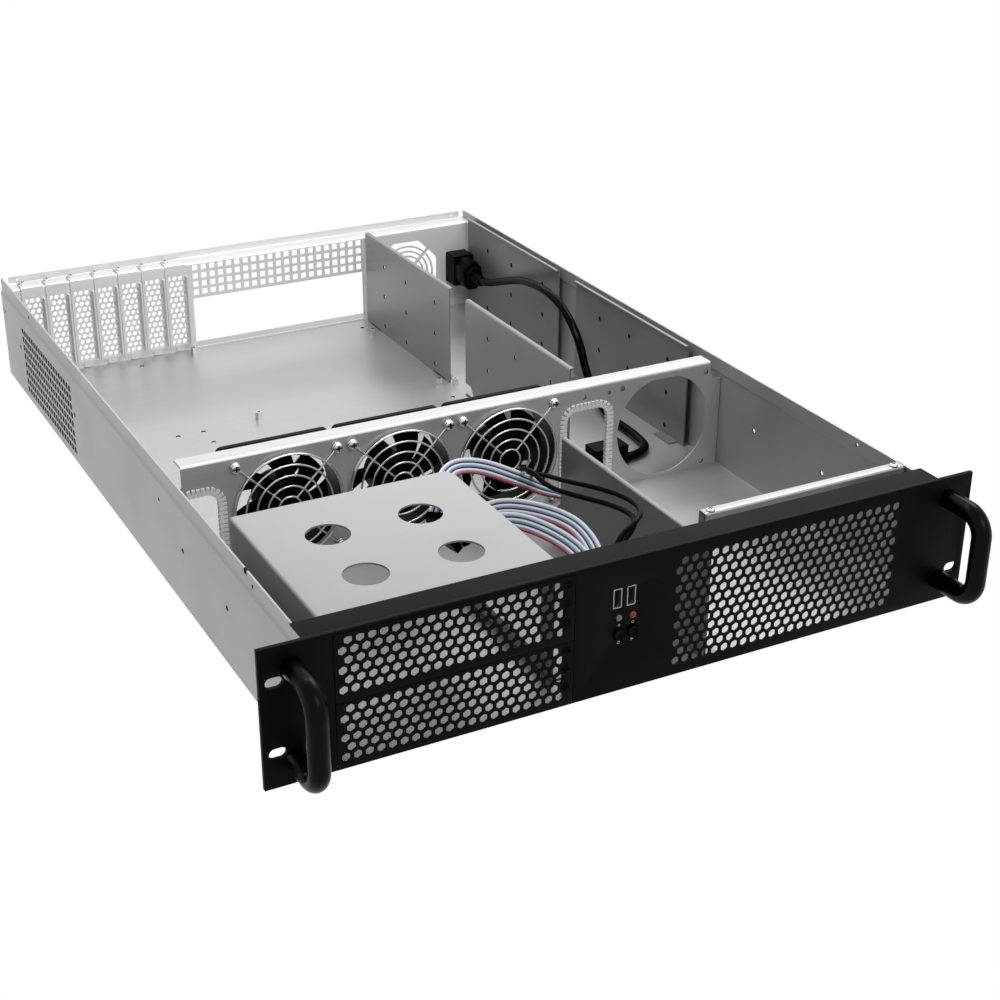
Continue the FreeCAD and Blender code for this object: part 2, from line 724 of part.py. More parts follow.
def blade(k):
    """One pitched blade between the hub and its tip, in place round the Y axis."""
    angle = 2 * math.pi * (k + 0.25) / value("blade_count")
    out = Vector(math.cos(angle), 0, math.sin(angle))
    around = Vector(-math.sin(angle), 0, math.cos(angle))
    back = Vector(0, 1, 0)
    rings = []
    lean = math.radians(value("blade_pitch"))
    chord = around * math.cos(lean) + back * math.sin(lean)
    normal = back * math.cos(lean) - around * math.sin(lean)
    thick = value("blade_thick") / 2
    for radius, width in ((value("hub_radius") - 1.5, value("blade_root") / 2),
                          (value("blade_tip"), value("blade_chord") / 2)):
        centre = out * radius
        corners = [centre - chord * width - normal * thick, centre + chord * width - normal * thick,
                   centre + chord * width + normal * thick, centre - chord * width + normal * thick]
        rings.append(corners)
    inner, outer = rings
    faces = [Part.Face(Part.makePolygon(ring + [ring[0]])) for ring in rings]
    for k in range(4):
        after = (k + 1) % 4
        faces.append(Part.Face(Part.makePolygon([inner[k], inner[after], outer[after], outer[k], inner[k]])))
    return Part.Solid(Part.Shell(faces))


def four_corners(x):
    """The places of the four screws of a fan."""
    places = []
    for i in (-1, 1):
        for j in (-1, 1):
            places.append((x + " + %d * fan_screw_offset" % i, "fan_level + %d * fan_screw_offset" % j))
    return places


for number, x in enumerate(fan_places, 1):
    shell = block("FanShell", x + " - fan_side / 2", fan_back, "fan_level - fan_side / 2", "fan_side",
                  "fan_depth", "fan_side")
    bore = peg("FanBore", "Y", x, fan_back + " - 1", "fan_level", "fan_bore", "fan_depth + 2", 16)
    ring = cut("FanRing", shell, [bore])
    mount_start = fan_back + " + fan_depth - mount_depth"
    mount = peg("FanMount", "Y", x, mount_start, "fan_level", "hub_radius", "mount_depth", 8)
    struts = []
    for angle in (45, 135, 225, 315):
        strut = doc.addObject("Part::Box", "FanStrut")
        turn(strut, Vector(0, 1, 0), angle)
        bind(strut, Length="fan_bore + 2", Width="mount_depth", Height="strut_width")
        at(strut, x, mount_start, "fan_level")
        struts.append(strut)
    solid = join("FanFrame_%d" % number, [ring, mount] + struts)
    bearing = rod("FanBearing", "Y", x, mount_start + " - 1", "fan_level", "shaft_radius + shaft_clearance",
                  "mount_depth + 2")
    node("fan_frame_%d" % number, cut("FanFrameCut_%d" % number, solid, [bearing]))
    hub_start = fan_back + " + 3"
    hub = peg("Hub", "Y", x, hub_start, "fan_level", "hub_radius", "hub_depth", 12)
    shaft = rod("Shaft", "Y", x, hub_start + " + hub_depth - 1", "fan_level", "shaft_radius",
                "fan_depth - hub_depth - 3")
    blades = made("Blades", Part.makeCompound([blade(k) for k in range(int(value("blade_count")))]))
    at(blades, x, hub_start + " + hub_depth / 2", "fan_level")
    node("fan_rotor_%d" % number, join("Rotor_%d" % number, [hub, shaft, blades]))
    wires = []
    for k in range(int(value("ring_count"))):
        radius = "ring_first + %d * ring_step" % k
        sides = 10 + 4 * k
        outer = peg("RingOuter", "Y", x, "fan_wall_face - 2 * wire_size", "fan_level", radius, "wire_size", sides)
        hole = peg("RingInner", "Y", x, "fan_wall_face - 2 * wire_size - 1", "fan_level", radius + " - wire_size",
                   "wire_size + 2", sides)
        wires.append(cut("Ring", outer, [hole]))
    for angle in (45, 135, 225, 315):
        arm = doc.addObject("Part::Box", "Arm")
        turn(arm, Vector(0, 1, 0), angle)
        bind(arm, Length="fan_screw_offset * 1.41421356 - ring_first + wire_size", Width="wire_size * 1.1",
             Height="wire_size")
        turned = math.radians(angle)
        along = (math.cos(turned), math.sin(turned))
        at(arm, x + " + (ring_first - wire_size) * %.9f - wire_size / 2 * %.9f" % (along[0], along[1]),
           "fan_wall_face - wire_size * 1.1",
           "fan_level - (ring_first - wire_size) * %.9f - wire_size / 2 * %.9f" % (along[1], along[0]))
        wires.append(arm)
    node("fan_guard_%d" % number, join("GuardSolid_%d" % number, wires))
screws = []
for x in fan_places:
    for across, level in four_corners(x):
        screws.append(peg("GuardScrew", "Y", across, "fan_wall_face - wire_size * 1.1 - screw_head_height", level,
                          "screw_head", "screw_head_height", 6))
node("guard_screws", group("GuardScrews", screws))

# The divider beside the power supply bay and the rail across its front
divider_low = "floor_rise + sheet_thick"
divider = padded("Divider", "XZ_Plane", [
    ("divider_left", divider_low), ("divider_left + divider_foot", divider_low),
    ("divider_left + divider_foot", divider_low + " + sheet_thick"),
    ("divider_left + sheet_thick", divider_low + " + sheet_thick"),
    ("divider_left + sheet_thick", "divider_top - sheet_thick"),
    ("divider_left + divider_lip", "divider_top - sheet_thick"),
    ("divider_left + divider_lip", "divider_top"), ("divider_left", "divider_top"),
], "divider_rear - panel_thick", True)
at(divider, 0, "panel_thick", 0)
node("divider_plate", divider)
rail_right = "body_width / 2 - joggle_inset - sheet_thick - fit_gap"
rail_top = block("RailTop", "rail_left", "rail_front", "rail_top - sheet_thick", rail_right + " - rail_left",
                 "rail_depth", "sheet_thick")
rail_face = block("RailFace", "rail_left", "rail_front", "rail_top - rail_drop", rail_right + " - rail_left",
                  "sheet_thick", "rail_drop")
rail_foot = block("RailFoot", rail_right + " - sheet_thick", "rail_front", "rail_top - rail_drop - 8",
                  "sheet_thick", "rail_depth + 8", "rail_drop + 8")
rail_post = block("RailPost", "rail_left", "rail_front", "divider_top - 14", "sheet_thick", "rail_depth",
                  "rail_top - divider_top + 14")
rail_arm = block("RailArm", "divider_left + sheet_thick", "rail_front", "divider_top - 14",
                 "rail_left - divider_left - sheet_thick + 1", "sheet_thick", "10")
node("front_rail", join("FrontRail", [rail_top, rail_face, rail_foot, rail_post, rail_arm]))
node("rail_screws", group("RailScrews", [
    peg("RailScrew", "Z", x, "rail_front + rail_depth / 2", "rail_top", "screw_head - 0.4", "screw_head_height - 0.4", 6)
    for x in ("rail_left + 6", rail_right + " - 7")]))

# Four drive plates on edge, two for each drive bay, with lips and feet
plates = [("1", "inner_plate", "rear_plate_start", 1, 1), ("2", "inner_plate", "front_plate_start", 0, 1),
          ("3", "outer_plate", "rear_plate_start", 1, -1), ("4", "outer_plate", "front_plate_start", 0, -1)]
for label, x, start, rear, way in plates:
    low_level = "floor_rise + sheet_thick"
    tall = "plate_top - (" + low_level + ")"
    web = block("PlateWeb" + label, x, start, low_level, "sheet_thick", "plate_length", tall)
    outward = x if way > 0 else x + " + sheet_thick - plate_lip"
    lip = block("PlateLip" + label, outward, start, "plate_top - sheet_thick", "plate_lip", "plate_length",
                "sheet_thick")
    foot_at = x if way > 0 else x + " + sheet_thick - plate_foot"
    feet = []
    for offset in ("plate_foot_start", "plate_length - plate_foot_end"):
        feet.append(block("PlateFoot" + label, foot_at, start + " + " + offset, low_level, "plate_foot",
                          "plate_foot_length", "sheet_thick"))
    solid = join("PlateSolid" + label, [web, lip] + feet)
    first = "drive_hole_first" if rear else "drive_hole_first - drive_row_shift"
    tools = []
    for row in range(3):
        for offset in ("0", "drive_hole_third"):
            tools.append(peg("PlateHole" + label, "X", x + " - 5", first + " + " + offset,
                             "drive_hole_level + %d * drive_hole_rise" % row, "drive_hole_radius", 10,
                             4))
    corner = block("PlateCorner" + label, x + " - 10", start + " + plate_length - plate_corner", low_level + " + sheet_thick + 0.1",
                   "20", "plate_corner + 1", "plate_corner / 2")
    if label == "2":
        tools.append(corner)
    node("drive_plate_" + label, cut("Plate" + label, solid, tools))

# The rear panel with its shelf and upright lip, folded from one sheet
rear_half = "(body_width / 2 - joggle_inset - sheet_thick - fit_gap)"
rear_low = "(floor_rise + sheet_thick)"
rear_top = "wall_top"
wall = "rear_wall"
rear_profile = [
    (wall + " - sheet_thick", rear_low), (wall, rear_low), (wall, "rear_shelf - sheet_thick"),
    ("body_depth", "rear_shelf - sheet_thick"), ("body_depth", rear_top),
    ("body_depth - sheet_thick", rear_top), ("body_depth - sheet_thick", "rear_shelf"),
    (wall + " - sheet_thick", "rear_shelf"),
]
rear_body = padded("Rear", "YZ_Plane", rear_profile, "2 * " + rear_half, False)
at(rear_body, "-" + rear_half, 0, 0)
rear_parts = [rear_body]
for x in ("-" + rear_half, rear_half + " - sheet_thick"):
    rear_parts.append(block("RearSide", x, wall + " - rear_flange", rear_low, "sheet_thick", "rear_flange",
                            "joggle_level - " + rear_low))
rear_solid = join("RearSolid", rear_parts)
rear_cuts = []
for side in (-1, 1):
    x = "-" + rear_half + " - 1" if side < 0 else "rear_lip_half"
    rear_cuts.append(block("RearLipEnd", x, "body_depth - sheet_thick - 1", "rear_shelf", "20", "sheet_thick + 2",
                           "wall_top - rear_shelf + 1"))
for k in range(7):
    rear_cuts.append(block("SlotWindow", "cover_first + %d * cover_pitch - cover_window / 2" % k, wall + " - 3",
                           "cover_window_low", "cover_window", "6", "cover_window_high - cover_window_low"))
rear_cuts.append(block("BoardOpening", "io_left", wall + " - 3", "io_level", "io_width", "6", "io_height"))
rear_cuts.append(block("InletOpening", "inlet_across - inlet_width / 2 - fit_gap", wall + " - 3",
                       "inlet_level - inlet_height / 2 - fit_gap", "inlet_width + 2 * fit_gap", "6",
                       "inlet_height + 2 * fit_gap"))
for row in range(int(value("grid_rows"))):
    for column in range(int(value("grid_columns"))):
        rear_cuts.append(block("GridHole", "grid_left + %d * grid_step" % column, wall + " - 3",
                               "grid_level + %d * grid_rise" % row, "grid_length", "6", "grid_hole"))


def ring_sector(inner_radius, outer_radius, start, depth, quarter):
    """A quarter of a ring along +Y in straight facets, less half a spoke at each end."""
    gap = value("grille_spoke") / 2
    steps = 3
    corners = []
    for radius in (outer_radius, inner_radius):
        arc = []
        first = math.asin(gap / radius)
        for k in range(steps + 1):
            angle = first + (math.pi / 2 - 2 * first) * k / steps + math.pi / 2 * quarter + math.pi / 4
            arc.append(Vector(radius * math.cos(angle), start, radius * math.sin(angle)))
        corners += arc if radius == outer_radius else arc[::-1]
    return Part.Face(Part.makePolygon(corners + [corners[0]])).extrude(Vector(0, depth, 0))


grille_pieces = []
reach = value("grille_half") - 1
bands = 2
thick = (reach - 5.0) / bands
for band_number in range(bands):
    inside = 5.0 + band_number * thick
    for quarter in range(4):
        grille_pieces.append(ring_sector(inside, inside + thick - value("grille_ring"), value("rear_wall") - 3, 6, quarter))
grille = made("GrilleCuts", Part.Compound(grille_pieces))
at(grille, "grille_across", 0, "grille_level")
rear_cuts.append(grille)
node("rear_panel", cut("RearCut", rear_solid, rear_cuts))

# Seven slot covers: each hangs on the shelf by its tab, inside the panel
slot_screws = []
for k in range(7):
    x = "cover_first + %d * cover_pitch" % k
    plate_front = wall + " - 2 * sheet_thick"
    face = block("SlotFace%d" % k, x + " - cover_width / 2", plate_front, "cover_foot", "cover_width",
                 "sheet_thick", "rear_shelf + sheet_thick - cover_foot")
    tab = block("SlotTab%d" % k, x + " - cover_width / 2", plate_front, "rear_shelf", "cover_width", "cover_tab + sheet_thick",
                "sheet_thick")
    side_wall = block("SlotSide%d" % k, x + " + cover_width / 2 - sheet_thick", plate_front + " - cover_side",
                      "cover_foot + 4", "sheet_thick", "cover_side", "rear_shelf - cover_foot - 14")
    foot = block("SlotFoot%d" % k, x + " - 4", plate_front, wall_low + " + fit_gap", "8", "sheet_thick",
                 "cover_foot - (" + wall_low + ") - fit_gap + 1")
    solid = join("SlotSolid%d" % k, [face, tab, side_wall, foot])
    tools = []
    for row in range(int(value("cover_holes"))):
        tools.append(block("SlotHole", x + " - cover_hole_radius", plate_front + " - 1",
                           "cover_hole_low + %d * cover_hole_rise - cover_hole_radius" % row,
                           "2 * cover_hole_radius", "sheet_thick + 2", "2 * cover_hole_radius"))
    node("slot_cover_%d" % (k + 1), cut("SlotCut%d" % k, solid, tools))
    slot_screws.append(peg("SlotScrew", "Z", x + " - cover_width / 2 + 3.4", wall + " + 7",
                           "rear_shelf + sheet_thick", "screw_head - 0.3", "screw_head_height", 6))
node("slot_screws", group("SlotScrews", slot_screws))

# The power inlet in the rear panel, its two screws and the plug inside
inlet_start = wall + " - inlet_depth"
inlet_core = block("InletCore", "inlet_across - inlet_width / 2", inlet_start, "inlet_level - inlet_height / 2",
                   "inlet_width", "inlet_depth", "inlet_height")
inlet_plate = block("InletPlate", "inlet_across - inlet_flange / 2", wall, "inlet_level - inlet_flange_height / 2",
                    "inlet_flange", "inlet_flange_thick", "inlet_flange_height")
inlet_mouth = block("InletMouth", "inlet_across - inlet_width / 2 + 2", wall + " - inlet_depth + 4",
                    "inlet_level - inlet_height / 2 + 2", "inlet_width - 4", "inlet_depth + 5", "inlet_height - 4")
inlet_holes = [peg("InletHole", "Y", "inlet_across", wall + " - 1", "inlet_level + %d * inlet_screw_pitch / 2" % j,
                   "screw_shank", "6", 6) for j in (-1, 1)]
inlet_solid = cut("InletHollow", join("InletSolid", [inlet_core, inlet_plate]), [inlet_mouth] + inlet_holes)
pins = [block("InletPin", "inlet_across - 1 + %s" % dx, wall + " - inlet_depth + 3", "inlet_level - 2 + %s" % dz, "2",
              "12", "4") for dx, dz in (("0", "0"), ("3.5", "7"), ("3.5", "-7"))]
node("power_inlet", join("Inlet", [inlet_solid] + pins))
node("inlet_screws", group("InletScrews", [
    peg("InletScrew", "Y", "inlet_across", wall + " + inlet_flange_thick",
        "inlet_level + %d * inlet_screw_pitch / 2" % j, "screw_head", "screw_head_height - 0.5", 6) for j in (-1, 1)]))
plug_rear = inlet_start
plug_start = inlet_start + " - plug_depth"
bevel = "4"
plug = padded("Plug", "XZ_Plane", [
    ("-plug_width / 2 + 5", "-plug_height / 2"), ("plug_width / 2 - 5", "-plug_height / 2"),
    ("plug_width / 2", "-plug_height / 2 + 6"), ("plug_width / 2", "plug_height / 2 - 6"),
    ("plug_width / 2 - 5", "plug_height / 2"), ("-plug_width / 2 + 5", "plug_height / 2"),
    ("-plug_width / 2", "plug_height / 2 - 6"), ("-plug_width / 2", "-plug_height / 2 + 6"),
], "plug_depth", True)
at(plug, "inlet_across", plug_start, "inlet_level")
node("inlet_plug", plug)

# Standoffs for the main board
standoffs = []
for x, y in (("-62.8", "631.4"), ("93.8", "603.2"), ("-63.6", "473.3"), ("95.1", "472.3"), ("106.9", "466.1")):
    post = doc.addObject("Part::Prism", "Standoff")
    post.Polygon = 6
    bind(post, Circumradius="standoff_radius", Height="standoff_height")
    at(post, x, y, "floor_rise + sheet_thick")
    standoffs.append(post)
node("standoffs", group("Standoffs", standoffs))


def route(points, radius):
    """A tube of a radius along straight runs joined by tangent arcs, in facets."""
    spots = [Vector(*point) for point in points]
    centres = [spots[0]]
    ways = [spots[1] - spots[0]]
    radii = []
    length = 0
    for k in range(1, len(spots) - 1):
        before = spots[k] - spots[k - 1]
        after = spots[k + 1] - spots[k]
        turned = before.getAngle(after)
        trim = 0.45 * min(before.Length, after.Length)
        bend = trim / math.tan(turned / 2)
        radii.append(round(bend, 1))
        middle_way = Vector(before).normalize() + Vector(after).normalize()
        inward = (Vector(after).normalize() - Vector(before).normalize()).normalize()
        sagitta = bend / math.cos(turned / 2) - bend
        arc = [(spots[k] - Vector(before).normalize() * trim, before)]
        if turned > 0.45:
            arc.append((spots[k] + inward * sagitta, middle_way))
        arc.append((spots[k] + Vector(after).normalize() * trim, after))
        length += (arc[0][0] - centres[-1]).Length + bend * turned
        centres += [centre for centre, way in arc]
        ways += [way for centre, way in arc]
    centres.append(spots[-1])
    ways.append(spots[-1] - spots[-2])
    length += (centres[-1] - centres[-2]).Length
    shape = tube(centres, ways, radius, 4)
    section = 2 * radius * radius
    print("route", round(length, 1), "mm, radii", radii, "ratio", round(shape.Volume / section / length, 4))
    return shape


LEAD_ROUTE = [(196.4, 604, 39.8), (196.4, 586, 39.8), (198, 558, 50), (196, 522, 63), (192, 486, 71), (189, 450, 72.5),
              (187, 420, 65), (186, 398, 48), (187, 390, 27), (187, 372, 10), (181, 342, 5.9), (182, 306, 5.9),
              (176, 271, 5.9), (150, 271, 5.9)]
RIBBON_ONE = [(-64, 150, 60), (-53, 164, 70), (-40, 180, 76.5), (-20, 179, 74.5), (3, 171, 64), (28, 174, 48),
              (50, 191, 33), (60, 200, 21), (60, 200, 7.2)]
RIBBON_TWO = [(-66, 121, 56), (-52, 124, 65), (-34, 127, 70.5), (-15, 114, 70), (-1, 91, 68.5), (-1, 67, 66),
              (-7, 46, 61), (-11, 30, 55), (-13, 14.4, 50)]
RIBBON_THREE = [(-66, 106, 67), (-50, 105, 72), (-34, 98, 73.5), (-23, 75, 72.5), (-18, 51, 70), (-21, 31, 66),
                (-23, 14.4, 62)]
BLACK_ONE = [(-1, 15, 42), (-1, 25, 53), (-1, 39, 65), (8, 47, 75), (22, 51, 79.5), (34, 62, 80), (37, 82, 79),
             (30, 108, 77), (20, 134, 73), (18, 162, 67), (21, 190, 53), (25, 211.9, 38)]
BLACK_TWO = [(1, 15, 34), (2, 27, 45), (4, 42, 58), (12, 50, 68.5), (24, 55, 73.5), (32, 68, 74.5), (30, 92, 72),
             (21, 118, 68.5), (13, 143, 66), (12, 168, 70), (15, 187, 60), (17, 211.7, 40)]
node("lead_socket", block("LeadSocket", "122", "263", "floor_rise + sheet_thick", "28", "16", "18"))


def end_block(end, ahead, across, high, deep):
    """A block behind one end of a route, its face square to the way of the route."""
    way = (Vector(*ahead) - Vector(*end)).normalize()
    side = way.cross(Vector(0, 0, 1))
    if side.Length < 0.1:
        side = Vector(1, 0, 0)
    side.normalize()
    above = side.cross(way)
    shape = Part.makeBox(deep, across, high, Vector(-deep, -across / 2, -high / 2))
    shape.Placement = FreeCAD.Placement(Vector(*end), FreeCAD.Rotation(way, above.cross(way), above, "XYZ"))
    return shape


for number, ends in (("1", [RIBBON_ONE[:2], RIBBON_ONE[:-3:-1]]), ("2", [RIBBON_TWO[:2]]), ("3", [RIBBON_THREE[:2]])):
    blocks = [made("RibbonPlug", end_block(end, ahead, 12, 8, 5)) for end, ahead in ends]
    node("ribbon_plug_" + number, group("RibbonPlugs" + number, blocks))
node("black_plug", block("BlackPlug", "12", "213", "34", "18", "8", "9"))
node("power_lead", made("PowerLead", route(LEAD_ROUTE, value("lead_radius"))))
node("ribbon_1", made("RibbonOne", route(RIBBON_ONE, value("ribbon_radius"))))
node("ribbon_2", made("RibbonTwo", route(RIBBON_TWO, value("ribbon_radius"))))
node("ribbon_3", made("RibbonThree", route(RIBBON_THREE, value("ribbon_radius"))))
node("black_lead_1", made("BlackOne", route(BLACK_ONE, value("wire_radius"))))
node("black_lead_2", made("BlackTwo", route(BLACK_TWO, value("wire_radius"))))

doc.recompute()
broken = [item.Name for item in doc.Objects if "Invalid" in item.State or "Error" in item.State]
if broken:
    raise RuntimeError("objects that failed: " + ", ".join(broken))
os.makedirs("parts", exist_ok=True)
for item in nodes:
    if item.Shape.isNull() or not item.Shape.isValid():
        raise RuntimeError("a piece without a sound shape: " + item.Label)
for item in nodes:
    item.Shape.exportStep("parts/" + item.Label + ".step")
print(len(nodes), "pieces")
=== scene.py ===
# %% [markdown]
# # An empty 2U server case for a 19 inch rack, with its lid off
# The real case is folded zinc coated sheet, punched with thousands of holes, behind a black
# powder coated front.  Each sheet here is a path across its folds, swept along its length, and
# the punches are taken out of it as one tool, the way a turret press works.
# Sizes are in millimetres.  X runs to the right, Y to the rear, and heights are counted from
# the bottom edge of the front panel, then lowered by half the panel.

# %% Load the frame
import math

import bmesh
import bpy
from mathutils import Matrix, Vector
from mathutils.geometry import delaunay_2d_cdt


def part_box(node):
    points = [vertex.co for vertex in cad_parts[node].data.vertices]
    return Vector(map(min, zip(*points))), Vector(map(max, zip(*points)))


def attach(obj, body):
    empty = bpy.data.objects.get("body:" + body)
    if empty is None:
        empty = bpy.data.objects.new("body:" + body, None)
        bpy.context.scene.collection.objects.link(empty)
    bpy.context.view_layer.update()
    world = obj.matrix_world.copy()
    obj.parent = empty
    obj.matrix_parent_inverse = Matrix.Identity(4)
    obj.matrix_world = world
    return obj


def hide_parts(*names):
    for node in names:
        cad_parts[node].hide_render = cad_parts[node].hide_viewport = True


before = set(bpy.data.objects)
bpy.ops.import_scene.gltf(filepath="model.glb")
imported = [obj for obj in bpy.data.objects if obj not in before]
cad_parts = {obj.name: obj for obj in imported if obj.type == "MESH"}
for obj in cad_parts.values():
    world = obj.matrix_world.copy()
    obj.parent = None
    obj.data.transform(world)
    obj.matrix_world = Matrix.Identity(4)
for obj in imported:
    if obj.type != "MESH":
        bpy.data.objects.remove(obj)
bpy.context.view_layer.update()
PANEL_HEIGHT = 88.1
MIDDLE = PANEL_HEIGHT / 2
scene = bpy.context.scene
collection = scene.collection


def place(x, y, z):
    """A point of the case, in millimetres, in the metres of the frame."""
    return Vector((x, y, z - MIDDLE)) / 1000.0


def corners(node):
    """The lowest and highest corner of a piece of the frame, in millimetres."""
    low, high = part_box(node)
    lift = Vector((0, 0, MIDDLE))
    return Vector(low) * 1000 + lift, Vector(high) * 1000 + lift


# %% [markdown]
# ## Camera
# The picture was taken from the left front, a little above the lid line.  The camera was solved
# from the rack slots, the card slot pitch and the drive holes.  A shifted lens would follow the
# picture a few pixels closer, but it would push the case out of other views, so the lens is plain.

# %% Camera
RIGHT = Vector((0.8841373, -0.4671955, 0.0054485))
DOWN = Vector((-0.2004925, -0.3899007, -0.8987659))
AHEAD = Vector((0.4220238, 0.7935401, -0.4383949))
lens = bpy.data.cameras.new("camera")
lens.sensor_width = 36.0
lens.lens = 64.07
lens.clip_start = 0.01
camera = bpy.data.objects.new("camera", lens)
turned = Matrix((RIGHT, -DOWN, -AHEAD)).transposed().to_4x4()
camera.matrix_world = Matrix.Translation((-0.503671, -0.762195, 0.520869)) @ turned
collection.objects.link(camera)
scene.camera = camera
print("camera", tuple(round(v, 3) for v in camera.location))

# %% [markdown]
# ## Cords
# A mains lead runs from the inlet to a socket on the floor.  Three flat ribbons leave the drive
# cage, and two thin black leads leave the control board.  Their routes are the same points as in
# the source, as control points of a smooth spline.  A round lead can be a curve with a bevel.
# A ribbon could be a flat strip, but its wires catch the light one by one, so its section swells.

# %% Cord routes
LEAD_ROUTE = [(196.4, 604, 39.8), (196.4, 586, 39.8), (198, 558, 50), (196, 522, 63), (192, 486, 71),
              (189, 450, 72.5), (187, 420, 65), (186, 398, 48), (187, 390, 27), (187, 372, 10),
              (181, 342, 5.9), (182, 306, 5.9), (176, 271, 5.9), (150, 271, 5.9)]
RIBBON_ONE = [(-64, 150, 60), (-53, 164, 70), (-40, 180, 76.5), (-20, 179, 74.5), (3, 171, 64), (28, 174, 48),
              (50, 191, 33), (60, 200, 21), (60, 200, 7.2)]
RIBBON_TWO = [(-66, 121, 56), (-52, 124, 65), (-34, 127, 70.5), (-15, 114, 70), (-1, 91, 68.5), (-1, 67, 66),
              (-7, 46, 61), (-11, 30, 55), (-13, 14.4, 50)]
RIBBON_THREE = [(-66, 106, 67), (-50, 105, 72), (-34, 98, 73.5), (-23, 75, 72.5), (-18, 51, 70),
                (-21, 31, 66), (-23, 14.4, 62)]
BLACK_ONE = [(-1, 15, 42), (-1, 25, 53), (-1, 39, 65), (8, 47, 75), (22, 51, 79.5), (34, 62, 80),
             (37, 82, 79), (30, 108, 77), (20, 134, 73), (18, 162, 67), (21, 190, 53), (25, 211.9, 38)]
BLACK_TWO = [(1, 15, 34), (2, 27, 45), (4, 42, 58), (12, 50, 68.5), (24, 55, 73.5), (32, 68, 74.5),
             (30, 92, 72), (21, 118, 68.5), (13, 143, 66), (12, 168, 70), (15, 187, 60), (17, 211.7, 40)]
LEAD_RADIUS = 3.4
WIRE_RADIUS = 1.7
RIBBON_WIRES = 9
RIBBON_PITCH = 1.27


def spline_of(name, route):
    """A smooth open curve with the route as its control points."""
    curve = bpy.data.curves.new(name, "CURVE")
    curve.dimensions = "3D"
    spline = curve.splines.new("NURBS")
    spline.points.add(len(route) - 1)
    for point, spot in zip(spline.points, route):
        point.co = (*place(*spot), 1.0)
    spline.order_u = 3
    spline.use_endpoint_u = True
    spline.resolution_u = 12
    item = bpy.data.objects.new(name, curve)
    collection.objects.link(item)
    return item


def points_along(route):
    """The points that Blender gives for the smooth curve of a route."""
    item = spline_of("measure", route)
    mesh = bpy.data.meshes.new_from_object(item)
    points = [vertex.co.copy() for vertex in mesh.vertices]
    bpy.data.meshes.remove(mesh)
    bpy.data.objects.remove(item)
    return points


def length_of(points):
    """The length of a line of points."""
    return sum((after - before).length for before, after in zip(points, points[1:]))


def round_lead(name, route, radius):
    """A round lead: the smooth curve with a round section."""
    item = spline_of(name, route)
    item.data.bevel_depth = radius / 1000
    item.data.bevel_resolution = 5
    item.data.use_fill_caps = True
    return item


leads = {node: (round_lead(name, route, radius), route, radius) for node, name, route, radius in (
    ("power_lead", "mains_lead", LEAD_ROUTE, LEAD_RADIUS),
    ("black_lead_1", "thin_lead_upper", BLACK_ONE, WIRE_RADIUS),
    ("black_lead_2", "thin_lead_lower", BLACK_TWO, WIRE_RADIUS))}

# The way that the upper face of a ribbon leans, so that it is seen from the front.
BANK = Vector((-0.25, -0.60, 0.75))


def ribbon(name, route):
    """A flat ribbon of round wires side by side, banked so that its far edge lies higher."""
    line = points_along(route)
    half = RIBBON_WIRES * RIBBON_PITCH / 2000
    thick = RIBBON_PITCH / 2000
    section = []
    steps = RIBBON_WIRES * 4
    for k in range(steps + 1):
        across = k / steps
        swell = 0.55 + 0.45 * abs(math.sin(math.pi * across * RIBBON_WIRES))
        section.append(((across - 0.5) * 2 * half, thick * swell))
    ring = section + [(across, -rise) for across, rise in reversed(section)]
    mesh = bpy.data.meshes.new(name)
    work = bmesh.new()
    layer = work.loops.layers.uv.new("across")
    rows = []
    side = Vector((1, 0, 0))
    run = 0.0
    runs = []
    for k, spot in enumerate(line):
        way = (line[min(k + 1, len(line) - 1)] - line[max(k - 1, 0)]).normalized()
        level = way.cross(BANK)
        if level.length > 0.3:
            side = level.normalized()
        side = (side - way * side.dot(way)).normalized()
        above = side.cross(way).normalized()
        rows.append([work.verts.new(spot + side * across + above * rise) for across, rise in ring])
        run += (spot - line[k - 1]).length if k else 0.0
        runs.append(run)
    count = len(ring)
    for k in range(len(rows) - 1):
        for j in range(count):
            after = (j + 1) % count
            face = work.faces.new((rows[k][j], rows[k][after], rows[k + 1][after], rows[k + 1][j]))
            for loop, (row, spot) in zip(face.loops, ((k, j), (k, after), (k + 1, after), (k + 1, j))):
                loop[layer].uv = (ring[spot][0] / (2 * half) + 0.5, runs[row] * 1000)
            face.smooth = True
    for cap in (rows[0], rows[-1]):
        work.faces.new(cap)
    bmesh.ops.recalc_face_normals(work, faces=work.faces)
    work.to_mesh(mesh)
    work.free()
    item = bpy.data.objects.new(name, mesh)
    collection.objects.link(item)
    return item, line


ribbons = {
    "ribbon_1": ribbon("ribbon_long", RIBBON_ONE),
    "ribbon_2": ribbon("ribbon_rear", RIBBON_TWO),
    "ribbon_3": ribbon("ribbon_front", RIBBON_THREE),
}
for node, (item, route, radius) in leads.items():
    print(node, round(length_of(points_along(route)) * 1000, 1), "mm")
for node, (item, line) in ribbons.items():
    print(node, round(length_of(line) * 1000, 1), "mm")

# %% [markdown]
# ## Materials
# Nearly all of the case is one metal, so its look rests on how softly it reflects.  A plain grey
# would do from afar, but rolled sheet has faint lines and clouds in its shine.  Every material
# takes its pattern from object coordinates, in real millimetres, or from the ribbon's own width.


# %% Material helpers
def linear(code):
    """The linear colour of a screen colour written as six hexadecimal digits."""
    parts = [int(code[k:k + 2], 16) / 255 for k in (0, 2, 4)]
    return tuple(p / 12.92 if p <= 0.04045 else ((p + 0.055) / 1.055) ** 2.4 for p in parts) + (1.0,)


